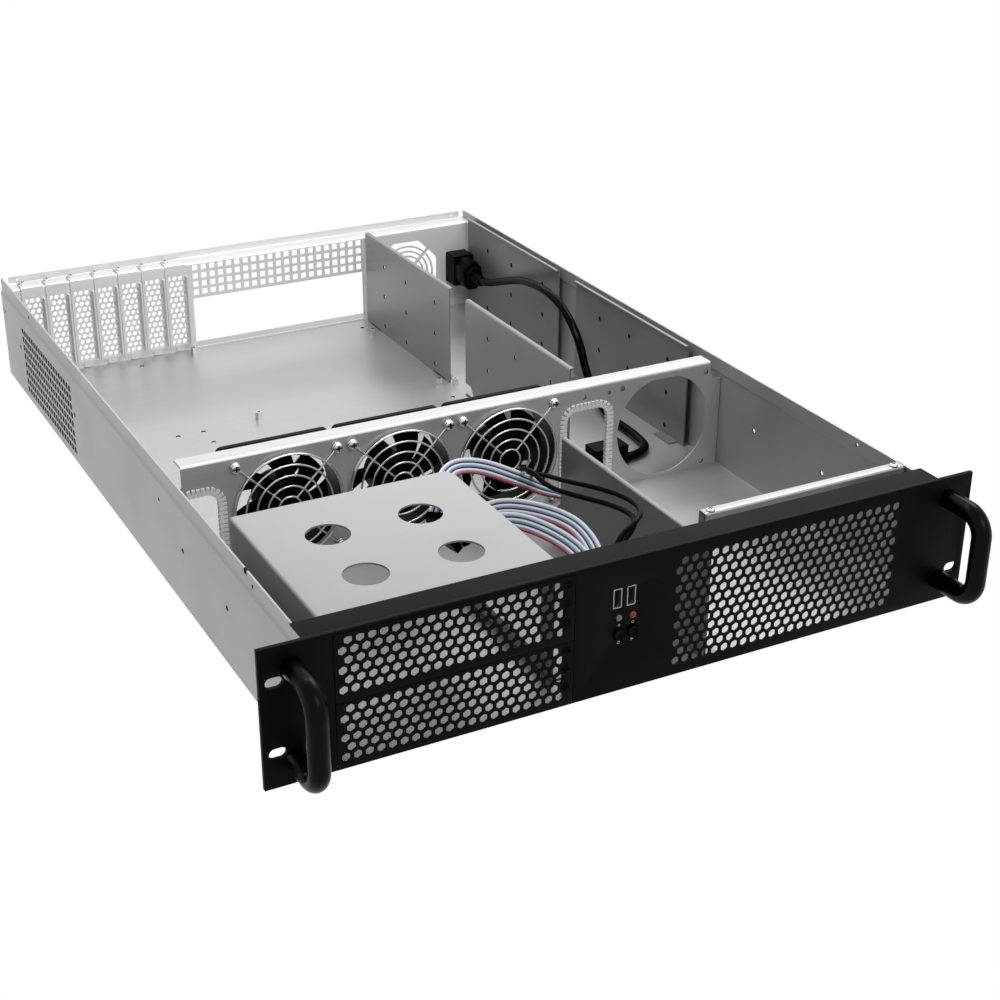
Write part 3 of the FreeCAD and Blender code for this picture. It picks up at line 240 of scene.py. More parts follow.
def add(tree, kind, inputs=None, **settings):
    """Adds a node with its settings.  Each input is linked to a socket, to the first output of a
    node, to all in a list of these, or else filled with a value."""
    node = tree.nodes.new(kind)
    for name, value in settings.items():
        setattr(node, name, value)
    for name, value in (inputs or {}).items():
        for part in value if isinstance(value, list) else [value]:
            if isinstance(part, bpy.types.Node):
                tree.links.new(part.outputs[0], node.inputs[name])
            elif isinstance(part, bpy.types.NodeSocket):
                tree.links.new(part, node.inputs[name])
            else:
                node.inputs[name].default_value = part
    return node


def blank(name):
    """A new material with an empty tree and its output."""
    item = bpy.data.materials.new(name)
    item.use_nodes = True
    item.node_tree.nodes.clear()
    return item, item.node_tree


def surface(tree, inputs):
    """Ends a tree in a principled surface."""
    shader = add(tree, "ShaderNodeBsdfPrincipled", inputs)
    add(tree, "ShaderNodeOutputMaterial", {"Surface": shader})


def grain(tree, stretch, per_metre, detail=4.0):
    """Noise in object coordinates, drawn out along the axes by a stretch."""
    spot = add(tree, "ShaderNodeTexCoord")
    drawn = add(tree, "ShaderNodeMapping", {"Vector": spot.outputs["Object"], "Scale": stretch})
    return add(tree, "ShaderNodeTexNoise", {"Vector": drawn, "Scale": per_metre, "Detail": detail})


BUMP_DEPTH = 0.0002


def wandering(tree, tone, colours, clouds, shine, relief, strength, inputs):
    """Ends a tree in a surface whose colour, shine and relief each wander with a noise."""
    colour = add(tree, "ShaderNodeMix", {0: tone, 6: linear(colours[0]), 7: linear(colours[1])},
                 data_type="RGBA")
    rough = add(tree, "ShaderNodeMapRange", {"Value": clouds, "From Min": 0.25, "From Max": 0.75,
                                             "To Min": shine[0], "To Max": shine[1]})
    bump = add(tree, "ShaderNodeBump", {"Height": relief, "Strength": strength, "Distance": BUMP_DEPTH})
    surface(tree, {"Base Color": colour.outputs[2], "Roughness": rough, "Normal": bump, **inputs})


def zinc(name, first, second, rough, stretch=(0.03, 1.0, 1.0), strength=0.04, metallic=0.9):
    """Rolled zinc coated steel: a drawn out grain and soft clouds in its shine."""
    item, tree = blank(name)
    lines = grain(tree, stretch, 900.0)
    clouds = grain(tree, tuple(max(part, 0.12) for part in stretch), 22.0, 2.0)
    total = add(tree, "ShaderNodeMath", {0: clouds, 1: lines}, operation="ADD")
    tone = add(tree, "ShaderNodeMath", {0: total, 1: 0.5}, operation="MULTIPLY")
    wandering(tree, tone, (first, second), clouds, (rough - 0.06, rough + 0.07), lines, strength,
              {"Metallic": metallic})
    return item


def coat(name, first, second, rough, texture_mm, strength, specular=0.18):
    """A paint or moulded surface with a fine texture of a real size."""
    item, tree = blank(name)
    fine = grain(tree, (1.0, 1.0, 1.0), 1000.0 / texture_mm, 3.0)
    clouds = grain(tree, (1.0, 1.0, 1.0), 20.0, 2.0)
    wandering(tree, clouds, (first, second), clouds, (rough - 0.04, rough + 0.04), fine, strength,
              {"Specular IOR Level": specular})
    return item


def striped(name):
    """Ribbon cable: grey wires with pale blue and white ones, and one red edge."""
    item, tree = blank(name)
    across = add(tree, "ShaderNodeUVMap", uv_map="across")
    parts = add(tree, "ShaderNodeSeparateXYZ", {"Vector": across})
    ramp = add(tree, "ShaderNodeValToRGB", {"Fac": parts})
    ramp.color_ramp.interpolation = "CONSTANT"
    shades = ["E4E6E8", "9AA9C4", "222A3A", "D8DBE0", "7A89A6", "1C2230", "D6D9DE", "75829C", "962A32"]
    for k, shade in enumerate(shades):
        mark = ramp.color_ramp.elements[k] if k < 2 else ramp.color_ramp.elements.new(k / len(shades))
        mark.position = k / len(shades)
        mark.color = linear(shade)
    clouds = grain(tree, (1.0, 1.0, 1.0), 120.0, 2.0)
    rough = add(tree, "ShaderNodeMapRange", {"Value": clouds, "From Min": 0.25, "From Max": 0.75,
                                             "To Min": 0.32, "To Max": 0.46})
    surface(tree, {"Base Color": ramp, "Roughness": rough, "Specular IOR Level": 0.15})
    return item


print("a dark paint in linear light", round(linear("080808")[0], 4))

# %% Materials of the case
# Rolled sheet: long faint lines, and light that spreads along them.
GALVANISED = zinc("galvanised steel", "989898", "B2B2B2", 0.36, strength=0.10, metallic=0.55)
# The drive plates and the divider stand in shade in the picture, so they are drawn a middle grey
# that sets off the bright floor.  Their real sheet may well be the tray's.
SHADED_PLATE_STEEL = zinc("dull galvanised steel", "7E7E7E", "929292", 0.38, strength=0.08, metallic=0.6)
# Painted light: the fan wall is a paler copy of the same sheet, so it reads lighter than the plates behind
# it.
LIT_WALL_STEEL = zinc("fan wall steel", "B4B4B4", "C4C4C4", 0.42, strength=0.08, metallic=0.5)
# The rear stands in open light in the picture, so its steel is drawn brighter and duller.
REAR_STEEL = zinc("bright galvanised steel", "CCCCCC", "D8D8D8", 0.5, metallic=0.45)
# The cage is brighter and duller, so it reads as a light matte plate.
LIGHT_STEEL = zinc("light galvanised steel", "A0A0A0", "A9A9A9", 0.55, strength=0.06, metallic=0.3)
# Fine orange peel that keeps the black front from looking like plastic.
POWDER_COAT = coat("black powder coat", "080808", "0D0D0D", 0.5, 0.35, 0.25, 0.05)
# Smoother paint on the bows, with a longer highlight.
SATIN_BLACK = coat("satin black paint", "040404", "080808", 0.28, 0.5, 0.06, 0.07)
# Plated wire and screw heads: small bright points against the dull sheet.
CHROME = zinc("bright plated wire", "C9C9CB", "D2D2D4", 0.16, (1.0, 1.0, 1.0), 0.02)
# Fans, plugs and inlet: a moulded black whose edges shine a little.
BLACK_PLASTIC = coat("black moulded plastic", "050505", "090909", 0.34, 0.4, 0.10, 0.03)
# The whitest thing in the case, so its notches are read from afar.
NYLON = coat("white nylon", "F6F6F4", "FBFBFA", 0.42, 0.6, 0.05, 0.5)
# Smooth flexible jacket: one thin highlight that follows the bends of a lead.
JACKET = coat("black lead jacket", "030303", "050505", 0.16, 0.8, 0.04, 0.04)
# Grey wires with a pale blue tint, a shine on each, and a red edge that marks the first wire.
RIBBON = striped("ribbon cable")
# Dark green lacquer, which keeps the small board quiet in its shade.
BOARD = coat("circuit board", "10241A", "16301F", 0.35, 0.8, 0.08)
# Dull ink that doesn't shine like the paint round it.
MARKING = coat("white screen print", "DADADA", "E4E4E4", 0.6, 0.5, 0.05)
# Contacts and pins: the one warm tone.
BRASS = zinc("plated brass", "B9A46A", "C4B07A", 0.28, (1.0, 1.0, 1.0), 0.02)
# Painted shade: cut edges of small holes, recess bottoms and port backs are near black for the shadow they
# lie in.
PAINTED_SHADE = coat("dark recess", "060606", "0A0A0A", 0.6, 0.6, 0.05)


def lens_material(name, first, second):
    """A moulded lens: clear enough to show depth, with a sharp highlight."""
    item, tree = blank(name)
    clouds = grain(tree, (1.0, 1.0, 1.0), 400.0, 1.0)
    colour = add(tree, "ShaderNodeMix", {0: clouds, 6: linear(first), 7: linear(second)}, data_type="RGBA")
    surface(tree, {"Base Color": colour.outputs[2], "Roughness": 0.12, "Coat Weight": 0.25,
                   "Coat Roughness": 0.05, "Specular IOR Level": 0.3})
    return item


CLEAR_LENS = lens_material("clear lens", "6F8094", "8C9CAE")
RED_LENS = lens_material("red lens", "A01408", "BE2410")
print("materials", len(bpy.data.materials))

# %% [markdown]
# ## Sheets and punches
# A folded sheet is one line across its folds with a thickness and a bend radius.  Blocks set
# edge to edge would leave square corners that no press can make.  A punch is a set of prisms
# that is taken out of the sheet at once, so the sheet stays one piece.


# %% Mesh helpers
def object_of(name, verts, faces, material):
    """A mesh object from points in millimetres."""
    mesh = bpy.data.meshes.new(name)
    mesh.from_pydata([place(*v) for v in verts], [], faces)
    work = bmesh.new()
    work.from_mesh(mesh)
    bmesh.ops.remove_doubles(work, verts=work.verts, dist=1e-7)
    bmesh.ops.recalc_face_normals(work, faces=work.faces)
    work.to_mesh(mesh)
    work.free()
    mesh.materials.append(material)
    item = bpy.data.objects.new(name, mesh)
    collection.objects.link(item)
    return item


def bent(path, radius, steps=5):
    """A path with its inner corners turned to arcs, and the way across it at each point."""
    line = []
    spots = [Vector(spot) for spot in path]
    for k, spot in enumerate(spots):
        if k in (0, len(spots) - 1):
            line.append(spot)
            continue
        before = (spot - spots[k - 1]).normalized()
        after = (spots[k + 1] - spot).normalized()
        turned = before.angle(after)
        trim = min(radius * math.tan(turned / 2), 0.45 * (spot - spots[k - 1]).length,
                   0.45 * (spots[k + 1] - spot).length)
        real = trim / math.tan(turned / 2)
        start = spot - before * trim
        sign = 1 if before.x * after.y - before.y * after.x > 0 else -1
        centre = start + Vector((-before.y, before.x)) * real * sign
        arm = start - centre
        for j in range(steps + 1):
            angle = turned * j / steps * sign
            line.append(centre + Vector((arm.x * math.cos(angle) - arm.y * math.sin(angle),
                                         arm.x * math.sin(angle) + arm.y * math.cos(angle))))
    ways = []
    for k in range(len(line)):
        along = (line[min(k + 1, len(line) - 1)] - line[max(k - 1, 0)]).normalized()
        ways.append(Vector((-along.y, along.x)))
    return line, ways


PLANES = {
    "XZ": lambda u, v, w: (u, w, v),
    "YZ": lambda u, v, w: (w, u, v),
    "XY": lambda u, v, w: (u, v, w),
}


def folded(name, path, thick, radius, plane, start, end, material):
    """A sheet folded along a path, swept from start to end across the plane."""
    line, ways = bent(path, radius + thick / 2)
    to = PLANES[plane]
    verts = []
    for at in (start, end):
        for spot, way in zip(line, ways):
            for sign in (1, -1):
                edge = spot + way * (thick / 2 * sign)
                verts.append(to(edge.x, edge.y, at))
    count = len(line)
    faces = []
    for k in range(count - 1):
        near, far = 2 * k, 2 * (k + count)
        faces.append((near, near + 2, far + 2, far))
        faces.append((near + 1, far + 1, far + 3, near + 3))
        faces.append((near, near + 1, near + 3, near + 2))
        faces.append((far, far + 2, far + 3, far + 1))
    for k in (0, count - 1):
        near, far = 2 * k, 2 * (k + count)
        faces.append((near, far, far + 1, near + 1))
    return object_of(name, verts, faces, material)


def slab(name, outline, holes, plane, start, end, material):
    """A flat plate with an outline and holes, from start to end across the plane."""
    points = []
    edges = []
    for ring in [outline] + list(holes):
        first = len(points)
        points += [Vector(p) for p in ring]
        edges += [(first + k, first + (k + 1) % len(ring)) for k in range(len(ring))]
    flat, flat_edges, tris, _, edge_from, _ = delaunay_2d_cdt(points, edges, [], 2, 1e-5)
    filled = []
    for tri in tris:
        middle = sum((flat[k] for k in tri), Vector((0, 0))) / 3
        if inside(middle, outline) and not any(inside(middle, ring) for ring in holes):
            filled.append(tri)
    to = PLANES[plane]
    count = len(flat)
    verts = [to(p.x, p.y, start) for p in flat] + [to(p.x, p.y, end) for p in flat]
    faces = [tuple(tri) for tri in filled] + [tuple(k + count for k in reversed(tri)) for tri in filled]
    used = {}
    for tri in filled:
        for k in range(3):
            a, b = tri[k], tri[(k + 1) % 3]
            used[(a, b)] = used.get((a, b), 0) + 1
    for a, b in used:
        if (b, a) not in used:
            faces.append((a, a + count, b + count, b))
    return object_of(name, verts, faces, material)


def inside(point, ring):
    """True if a point lies inside a ring of points."""
    found = False
    for k in range(len(ring)):
        ax, ay = ring[k][0], ring[k][1]
        bx, by = ring[k - 1][0], ring[k - 1][1]
        if (ay > point.y) != (by > point.y) and point.x < (bx - ax) * (point.y - ay) / (by - ay) + ax:
            found = not found
    return found


def ngon(u, v, radius, sides, first=0.0):
    """A regular outline round a centre."""
    return [(u + radius * math.cos(first + 2 * math.pi * k / sides),
             v + radius * math.sin(first + 2 * math.pi * k / sides)) for k in range(sides)]


def arc(u, v, radius, first, steps):
    """Points of a quarter turn round a centre, from a first angle in degrees."""
    angles = [math.radians(first + 90 * k / steps) for k in range(steps + 1)]
    return [(u + radius * math.cos(angle), v + radius * math.sin(angle)) for angle in angles]


def oblong(u0, u1, v0, v1, radius=0.0, steps=4):
    """A rectangle with rounded corners."""
    if radius <= 0:
        return [(u0, v0), (u1, v0), (u1, v1), (u0, v1)]
    ring = []
    for cu, cv, first in ((u1 - radius, v0 + radius, -90), (u1 - radius, v1 - radius, 0),
                          (u0 + radius, v1 - radius, 90), (u0 + radius, v0 + radius, 180)):
        ring += arc(cu, cv, radius, first, steps)
    return ring


def prism(name, rings, plane, start, end, material=None):
    """Separate prisms with the given outlines, as one mesh."""
    to = PLANES[plane]
    verts = []
    faces = []
    for ring in rings:
        first = len(verts)
        count = len(ring)
        verts += [to(p[0], p[1], start) for p in ring] + [to(p[0], p[1], end) for p in ring]
        faces.append(tuple(first + k for k in range(count)))
        faces.append(tuple(first + count + k for k in reversed(range(count))))
        for k in range(count):
            after = (k + 1) % count
            faces.append((first + k, first + count + k, first + count + after, first + after))
    return object_of(name, verts, faces, material or PAINTED_SHADE)


def around(u, v, half_u, half_v, radius=0.0, steps=4):
    """A rectangle round a centre."""
    return oblong(u - half_u, u + half_u, v - half_v, v + half_v, radius, steps)


def bridged(rings, sides):
    """Faces that join rings of points one after another, and close both ends."""
    faces = [tuple(range(sides)), tuple((rings - 1) * sides + k for k in reversed(range(sides)))]
    for k in range(rings - 1):
        for j in range(sides):
            after = (j + 1) % sides
            faces.append((k * sides + j, k * sides + after, (k + 1) * sides + after, (k + 1) * sides + j))
    return faces


def box_of(name, x0, x1, y0, y1, z0, z1, material):
    """A plain block, for tools and for pieces that are joined into others."""
    return prism(name, [oblong(x0, x1, y0, y1)], "XY", z0, z1, material)


def joined(name, items):
    """Several objects made one, with their materials kept."""
    work = bmesh.new()
    materials = []
    for item in items:
        mesh = item.data
        shift = {}
        for k, material in enumerate(mesh.materials):
            if material not in materials:
                materials.append(material)
            shift[k] = materials.index(material)
        copy = mesh.copy()
        for polygon in copy.polygons:
            polygon.material_index = shift.get(polygon.material_index, 0)
        work.from_mesh(copy)
        bpy.data.meshes.remove(copy)
        drop(item)
    mesh = bpy.data.meshes.new(name)
    work.to_mesh(mesh)
    work.free()
    for material in materials:
        mesh.materials.append(material)
    item = bpy.data.objects.new(name, mesh)
    collection.objects.link(item)
    return item


def drop(item):
    """Removes a helper object and its mesh."""
    mesh = item.data
    bpy.data.objects.remove(item)
    if mesh and mesh.users == 0:
        bpy.data.meshes.remove(mesh)


def settled(item):
    """The object as a plain mesh, with its modifiers worked out and removed."""
    shape = bpy.data.meshes.new_from_object(item.evaluated_get(bpy.context.evaluated_depsgraph_get()))
    item.modifiers.clear()
    old = item.data
    shape.name = item.name
    item.data = shape
    if old.users == 0:
        bpy.data.meshes.remove(old)
    return item


def punched(item, tools, painted_shade_edges=False):
    """Takes a set of tools out of a sheet, in one stroke.  When asked, the cut faces keep the tool's
    near-black material as painted shade.
    """
    for tool in tools:
        change = item.modifiers.new("punch", "BOOLEAN")
        change.operation = "DIFFERENCE"
        change.solver = "MANIFOLD"
        change.object = tool
        if painted_shade_edges:
            change.material_mode = "TRANSFER"
    before = len(item.data.polygons)
    settled(item)
    for tool in tools:
        drop(tool)
    if len(item.data.polygons) <= before:
        raise RuntimeError("nothing was punched out of " + item.name)
    return item


# %% [markdown]
# ## What repeats
# Punched fields, screws and fan blades are one small shape set out many times.  Four node trees
# do that: in rows and columns, round a centre, along a line, and as the rings of a wire guard.
# A loop could copy the shapes too, but a tree keeps one seed and a few named inputs.


# %% Node trees
def open_tree(name, sockets):
    """A geometry tree with named inputs."""
    tree = bpy.data.node_groups.new(name, "GeometryNodeTree")
    tree.interface.new_socket("Geometry", in_out="INPUT", socket_type="NodeSocketGeometry")
    for label, kind in sockets:
        tree.interface.new_socket(label, in_out="INPUT", socket_type="NodeSocket" + kind)
    tree.interface.new_socket("Geometry", in_out="OUTPUT", socket_type="NodeSocketGeometry")
    return tree, add(tree, "NodeGroupInput").outputs


def close_tree(tree, geometry, material):
    """Ends a geometry tree: real mesh with its material set, except on a piece's faces of painted shade."""
    real = add(tree, "GeometryNodeRealizeInstances", {"Geometry": geometry})
    slot_number = add(tree, "GeometryNodeInputMaterialIndex")
    plain = add(tree, "ShaderNodeMath", {0: slot_number, 1: 0.5}, operation="LESS_THAN")
    done = add(tree, "GeometryNodeSetMaterial", {"Geometry": real, "Material": material, "Selection": plain})
    add(tree, "NodeGroupOutput", {"Geometry": done})
    return tree


def rows_tree():
    """Sets a piece out in rows and columns, every second row shifted by a part of the step."""
    tree, given = open_tree("rows and columns", [
        ("Piece", "Object"), ("Columns", "Int"), ("Rows", "Int"), ("Start", "Vector"), ("Across", "Vector"),
        ("Up", "Vector"), ("Stagger", "Float"), ("Material", "Material")])
    number = add(tree, "GeometryNodeInputIndex")
    middle = add(tree, "ShaderNodeMath", {0: number, 1: 0.5}, operation="ADD")
    share = add(tree, "ShaderNodeMath", {0: middle, 1: given["Columns"]}, operation="DIVIDE")
    row = add(tree, "ShaderNodeMath", {0: share}, operation="FLOOR")
    done = add(tree, "ShaderNodeMath", {0: row, 1: given["Columns"]}, operation="MULTIPLY")
    column = add(tree, "ShaderNodeMath", {0: number, 1: done}, operation="SUBTRACT")
    odd = add(tree, "ShaderNodeMath", {0: row, 1: 2.0}, operation="MODULO")
    shift = add(tree, "ShaderNodeMath", {0: odd, 1: given["Stagger"]}, operation="MULTIPLY")
    steps = add(tree, "ShaderNodeMath", {0: column, 1: shift}, operation="ADD")
    across = add(tree, "ShaderNodeVectorMath", {0: given["Across"], "Scale": steps}, operation="SCALE")
    up = add(tree, "ShaderNodeVectorMath", {0: given["Up"], "Scale": row}, operation="SCALE")
    away = add(tree, "ShaderNodeVectorMath", {0: across, 1: up}, operation="ADD")
    spot = add(tree, "ShaderNodeVectorMath", {0: given["Start"], 1: away}, operation="ADD")
    count = add(tree, "ShaderNodeMath", {0: given["Columns"], 1: given["Rows"]}, operation="MULTIPLY")
    points = add(tree, "GeometryNodePoints", {"Count": count, "Position": spot})
    piece = add(tree, "GeometryNodeObjectInfo", {"Object": given["Piece"]})
    laid = add(tree, "GeometryNodeInstanceOnPoints", {
        "Points": points, "Instance": piece.outputs["Geometry"]})
    return close_tree(tree, laid, given["Material"])


def round_tree():
    """Sets a piece out round an axis that runs to the rear."""
    tree, given = open_tree("round a centre", [
        ("Piece", "Object"), ("Count", "Int"), ("Centre", "Vector"), ("First Angle", "Float"),
        ("Material", "Material")])
    number = add(tree, "GeometryNodeInputIndex")
    whole = add(tree, "ShaderNodeMath", {0: number, 1: 2 * math.pi}, operation="MULTIPLY")
    share = add(tree, "ShaderNodeMath", {0: whole, 1: given["Count"]}, operation="DIVIDE")
    angle = add(tree, "ShaderNodeMath", {0: share, 1: given["First Angle"]}, operation="ADD")
    euler = add(tree, "ShaderNodeCombineXYZ", {"Y": angle})
    turned = add(tree, "FunctionNodeEulerToRotation", {"Euler": euler})
    points = add(tree, "GeometryNodePoints", {"Count": given["Count"], "Position": given["Centre"]})
    piece = add(tree, "GeometryNodeObjectInfo", {"Object": given["Piece"]})
    laid = add(tree, "GeometryNodeInstanceOnPoints", {
        "Points": points, "Instance": piece.outputs["Geometry"], "Rotation": turned})
    return close_tree(tree, laid, given["Material"])


def teeth_tree():
    """Sets small teeth along a line, each square to it."""
    tree, given = open_tree("teeth along a line", [
        ("Piece", "Object"), ("Line", "Object"), ("Pitch", "Float"), ("Material", "Material")])
    line = add(tree, "GeometryNodeObjectInfo", {"Object": given["Line"]})
    spaced = add(tree, "GeometryNodeResampleCurve", {
        "Curve": line.outputs["Geometry"], "Length": given["Pitch"]}, mode="LENGTH")
    along = add(tree, "GeometryNodeInputTangent")
    turned = add(tree, "FunctionNodeAlignRotationToVector", {"Vector": along}, axis="X", pivot_axis="Y")
    piece = add(tree, "GeometryNodeObjectInfo", {"Object": given["Piece"]})
    laid = add(tree, "GeometryNodeInstanceOnPoints", {
        "Points": spaced, "Instance": piece.outputs["Geometry"], "Rotation": turned})
    return close_tree(tree, laid, given["Material"])


def guard_tree():
    """A wire guard: rings of growing size, and four arms that end in eyelets."""
    tree, given = open_tree("wire guard", [
        ("Centre", "Vector"), ("Rings", "Int"), ("First Ring", "Float"), ("Ring Step", "Float"),
        ("Corner", "Float"), ("Eyelet", "Float"), ("Wire", "Float"), ("Material", "Material")])
    # the rings: one circle, laid on its side and scaled by its number
    number = add(tree, "GeometryNodeInputIndex")
    growth = add(tree, "ShaderNodeMath", {0: number, 1: given["Ring Step"]}, operation="MULTIPLY")
    wide = add(tree, "ShaderNodeMath", {0: given["First Ring"], 1: growth}, operation="ADD")
    circle = add(tree, "GeometryNodeCurvePrimitiveCircle", {"Resolution": 48, "Radius": 1.0}, mode="RADIUS")
    upright = add(tree, "FunctionNodeEulerToRotation", {"Euler": (math.pi / 2, 0.0, 0.0)})
    size = add(tree, "ShaderNodeCombineXYZ", {"X": wide, "Y": wide, "Z": wide})
    centres = add(tree, "GeometryNodePoints", {"Count": given["Rings"], "Position": given["Centre"]})
    rings = add(tree, "GeometryNodeInstanceOnPoints", {
        "Points": centres, "Instance": circle, "Rotation": upright, "Scale": size})
    # the arms: a line and an eyelet, turned by quarters, one wire behind the rings
    arm_start = add(tree, "ShaderNodeCombineXYZ", {"X": given["First Ring"]})
    arm_length = add(tree, "ShaderNodeMath", {0: given["Corner"], 1: given["Eyelet"]}, operation="SUBTRACT")
    arm_end = add(tree, "ShaderNodeCombineXYZ", {"X": arm_length})
    arm = add(tree, "GeometryNodeCurvePrimitiveLine", {"Start": arm_start, "End": arm_end})
    eye = add(tree, "GeometryNodeCurvePrimitiveCircle", {"Resolution": 20, "Radius": given["Eyelet"]},
              mode="RADIUS")
    eye_place = add(tree, "ShaderNodeCombineXYZ", {"X": given["Corner"]})
    eye_turned = add(tree, "GeometryNodeTransform", {
        "Geometry": eye, "Translation": eye_place, "Rotation": (math.pi / 2, 0.0, 0.0)})
    arm_and_eye = add(tree, "GeometryNodeJoinGeometry", {"Geometry": [arm, eye_turned]})
    corner_number = add(tree, "ShaderNodeMath", {0: number, 1: 0.5}, operation="ADD")
    quarter = add(tree, "ShaderNodeMath", {0: corner_number, 1: math.pi / 2}, operation="MULTIPLY")
    euler = add(tree, "ShaderNodeCombineXYZ", {"Y": quarter})
    turned = add(tree, "FunctionNodeEulerToRotation", {"Euler": euler})
    step_back = add(tree, "ShaderNodeCombineXYZ", {"Y": given["Wire"]})
    behind = add(tree, "ShaderNodeVectorMath", {0: given["Centre"], 1: step_back}, operation="ADD")
    arm_points = add(tree, "GeometryNodePoints", {"Count": 4, "Position": behind})
    arms = add(tree, "GeometryNodeInstanceOnPoints", {
        "Points": arm_points, "Instance": arm_and_eye, "Rotation": turned})
    # the wire itself: a round section led along every line
    everything = add(tree, "GeometryNodeJoinGeometry", {"Geometry": [rings, arms]})
    lines = add(tree, "GeometryNodeRealizeInstances", {"Geometry": everything})
    radius = add(tree, "ShaderNodeMath", {0: given["Wire"], 1: 2.0}, operation="DIVIDE")
    section = add(tree, "GeometryNodeCurvePrimitiveCircle", {"Resolution": 10, "Radius": radius},
                  mode="RADIUS")
    wire = add(tree, "GeometryNodeCurveToMesh", {"Curve": lines, "Profile Curve": section, "Fill Caps": True})
    return close_tree(tree, wire, given["Material"])


def made_by(tree, name, **given):
    """Runs a geometry tree with its inputs set, and keeps what it makes as a plain mesh."""
    item = bpy.data.objects.new(name, bpy.data.meshes.new(name))
    collection.objects.link(item)
    change = item.modifiers.new("made", "NODES")
    change.node_group = tree
    sockets = {socket.name.lower().replace(" ", "_"): socket.identifier
               for socket in tree.interface.items_tree if socket.in_out == "INPUT"}
    for label, value in given.items():
        change[sockets[label]] = value
    item.update_tag()
    bpy.context.view_layer.update()
    return settled(item)


ROWS = rows_tree()
ROUND = round_tree()
TEETH = teeth_tree()
GUARD = guard_tree()
print("node trees", [tree.name for tree in bpy.data.node_groups])


def metres(*values):
    """Lengths in millimetres as a vector in metres."""
    return [value / 1000 for value in values]


def at_start(x, y, z):
    """A place in millimetres as a list in the frame's metres."""
    return list(place(x, y, z))


def punch_field(name, ring, plane, depth, columns, rows, start, across, up, stagger=0.0):
    """A field of prisms in rows and columns, as one punching tool."""
    seed = prism(name + "_seed", [[(u, v + MIDDLE) for u, v in ring]], plane, -depth / 2, depth / 2)
    field = made_by(ROWS, name, piece=seed, columns=columns, rows=rows, start=at_start(*start),
                    across=metres(*across), up=metres(*up), stagger=stagger, material=PAINTED_SHADE)
    drop(seed)
    return field


def soften(item, width_mm, segments=2, angle=40):
    """Breaks the sharp edges of a piece, as paint and moulding do."""
    change = item.modifiers.new("soften", "BEVEL")
    change.width = width_mm / 1000
    change.segments = segments
    change.limit_method = "ANGLE"
    change.angle_limit = math.radians(angle)
    return settled(item)


def shaded(item, angle=35):
    """Smooth where the surface turns gently, sharp where it is folded."""
    work = bmesh.new()
    work.from_mesh(item.data)
    for face in work.faces:
        face.smooth = True
    for edge in work.edges:
        if len(edge.link_faces) != 2 or edge.calc_face_angle(0.0) > math.radians(angle):
            edge.smooth = False
    work.to_mesh(item.data)
    work.free()
    return item


pieces = []


def settle_in(item, body, slot, *nodes):
    """Gives a finished piece its body and hides the pieces of the frame it stands for.  The slot is not used.
    """
    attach(item, body)
    if nodes:
        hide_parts(*nodes)
    pieces.append(item)
    return item


for node, (item, route, radius) in leads.items():
    item.data.materials.append(JACKET)
    settle_in(item, "case", "lead_jacket", node)
for node, (item, line) in ribbons.items():
    item.data.materials.append(RIBBON)
    settle_in(item, "case", "ribbon", node)
print("cords", [item.name for item in pieces])

# %% [markdown]
# ## Tray
# Floor and both side walls are one sheet.  The upper band of each wall steps in so that the lid
# can slide over it.  The left wall has a vent of square holes near the rear.  Three plates would
# look alike, but the real one is one blank bent in a press, so one path is folded here too.

# %% Tray
SHEET = 1.2
BODY_HALF = 214.1
BODY_REAR = 660.0
FLOOR = 1.0
WALL_TOP = 85.6
JOGGLE = 73.6
BAND_HALF = BODY_HALF - 1.1
tray_path = [(-BAND_HALF + SHEET / 2, WALL_TOP), (-BAND_HALF + SHEET / 2, JOGGLE + 1.6),
             (-BODY_HALF + SHEET / 2, JOGGLE), (-BODY_HALF + SHEET / 2, FLOOR + SHEET / 2),
             (BODY_HALF - SHEET / 2, FLOOR + SHEET / 2), (BODY_HALF - SHEET / 2, JOGGLE),
             (BAND_HALF - SHEET / 2, JOGGLE + 1.6), (BAND_HALF - SHEET / 2, WALL_TOP)]
tray = folded("tray", tray_path, SHEET, 0.8, "XZ", 3.0, BODY_REAR, GALVANISED)
VENT_HOLE = 4.8
VENT_STEP = 7.1
vent = punch_field("vent", around(0, 0, VENT_HOLE / 2, VENT_HOLE / 2), "YZ", 6.0, 20, 8,
                   (-BODY_HALF + 0.6, 460.5, 11.5), (0, VENT_STEP, 0), (0, 0, VENT_STEP))
left_holes = [(206.7, 44.1, 1.9), (126.4, 43.3, 1.9), (608.8, 43.4, 1.9), (452.1, 43.4, 1.9),
              (81.4, 79.6, 1.5), (572.4, 80.1, 1.5), (250.2, 61.5, 1.3), (652.9, 59.5, 1.5),
              (657.5, 16.4, 1.0)]
right_holes = [(194.8, 45.4, 1.9), (114.4, 45.5, 1.9), (79.1, 81.2, 1.5)]
floor_holes = [(-111.3, 625.2, 1.9), (-131.5, 470.2, 1.9), (-111.0, 469.9, 1.9), (-110.7, 447.5, 1.9),
               (93.0, 625.1, 1.9), (93.5, 444.1, 1.9)]
# The walls of the vent and of the small holes take painted shade from the tools.
tray = punched(tray, [
    vent,
    prism("left_punch", [ngon(y, z, r, 16) for y, z, r in left_holes], "YZ", -BODY_HALF - 2, -BODY_HALF + 4),
    prism("right_punch", [ngon(y, z, r, 16) for y, z, r in right_holes], "YZ", BODY_HALF - 4, BODY_HALF + 2),
    prism("floor_punch", [ngon(x, y, r, 16) for x, y, r in floor_holes], "XY", FLOOR - 1, FLOOR + 3),
    box_of("tray_notch", -BODY_HALF - 2, -BODY_HALF + 5, 90.0, 94.5, WALL_TOP - 3.2, WALL_TOP + 2, PAINTED_SHADE),
], True)
settle_in(shaded(tray), "case", "galvanised", "chassis_tray")
print("tray faces", len(tray.data.polygons))

# %% [markdown]
# ## Front panel
# A thick plate with two ears.  Its top edge turns back over the case, and the right half is a
# field of hexagons for the power supply's air.  Behind the field the plate is milled thinner,
# because through a thick plate the slanting view would close the holes.

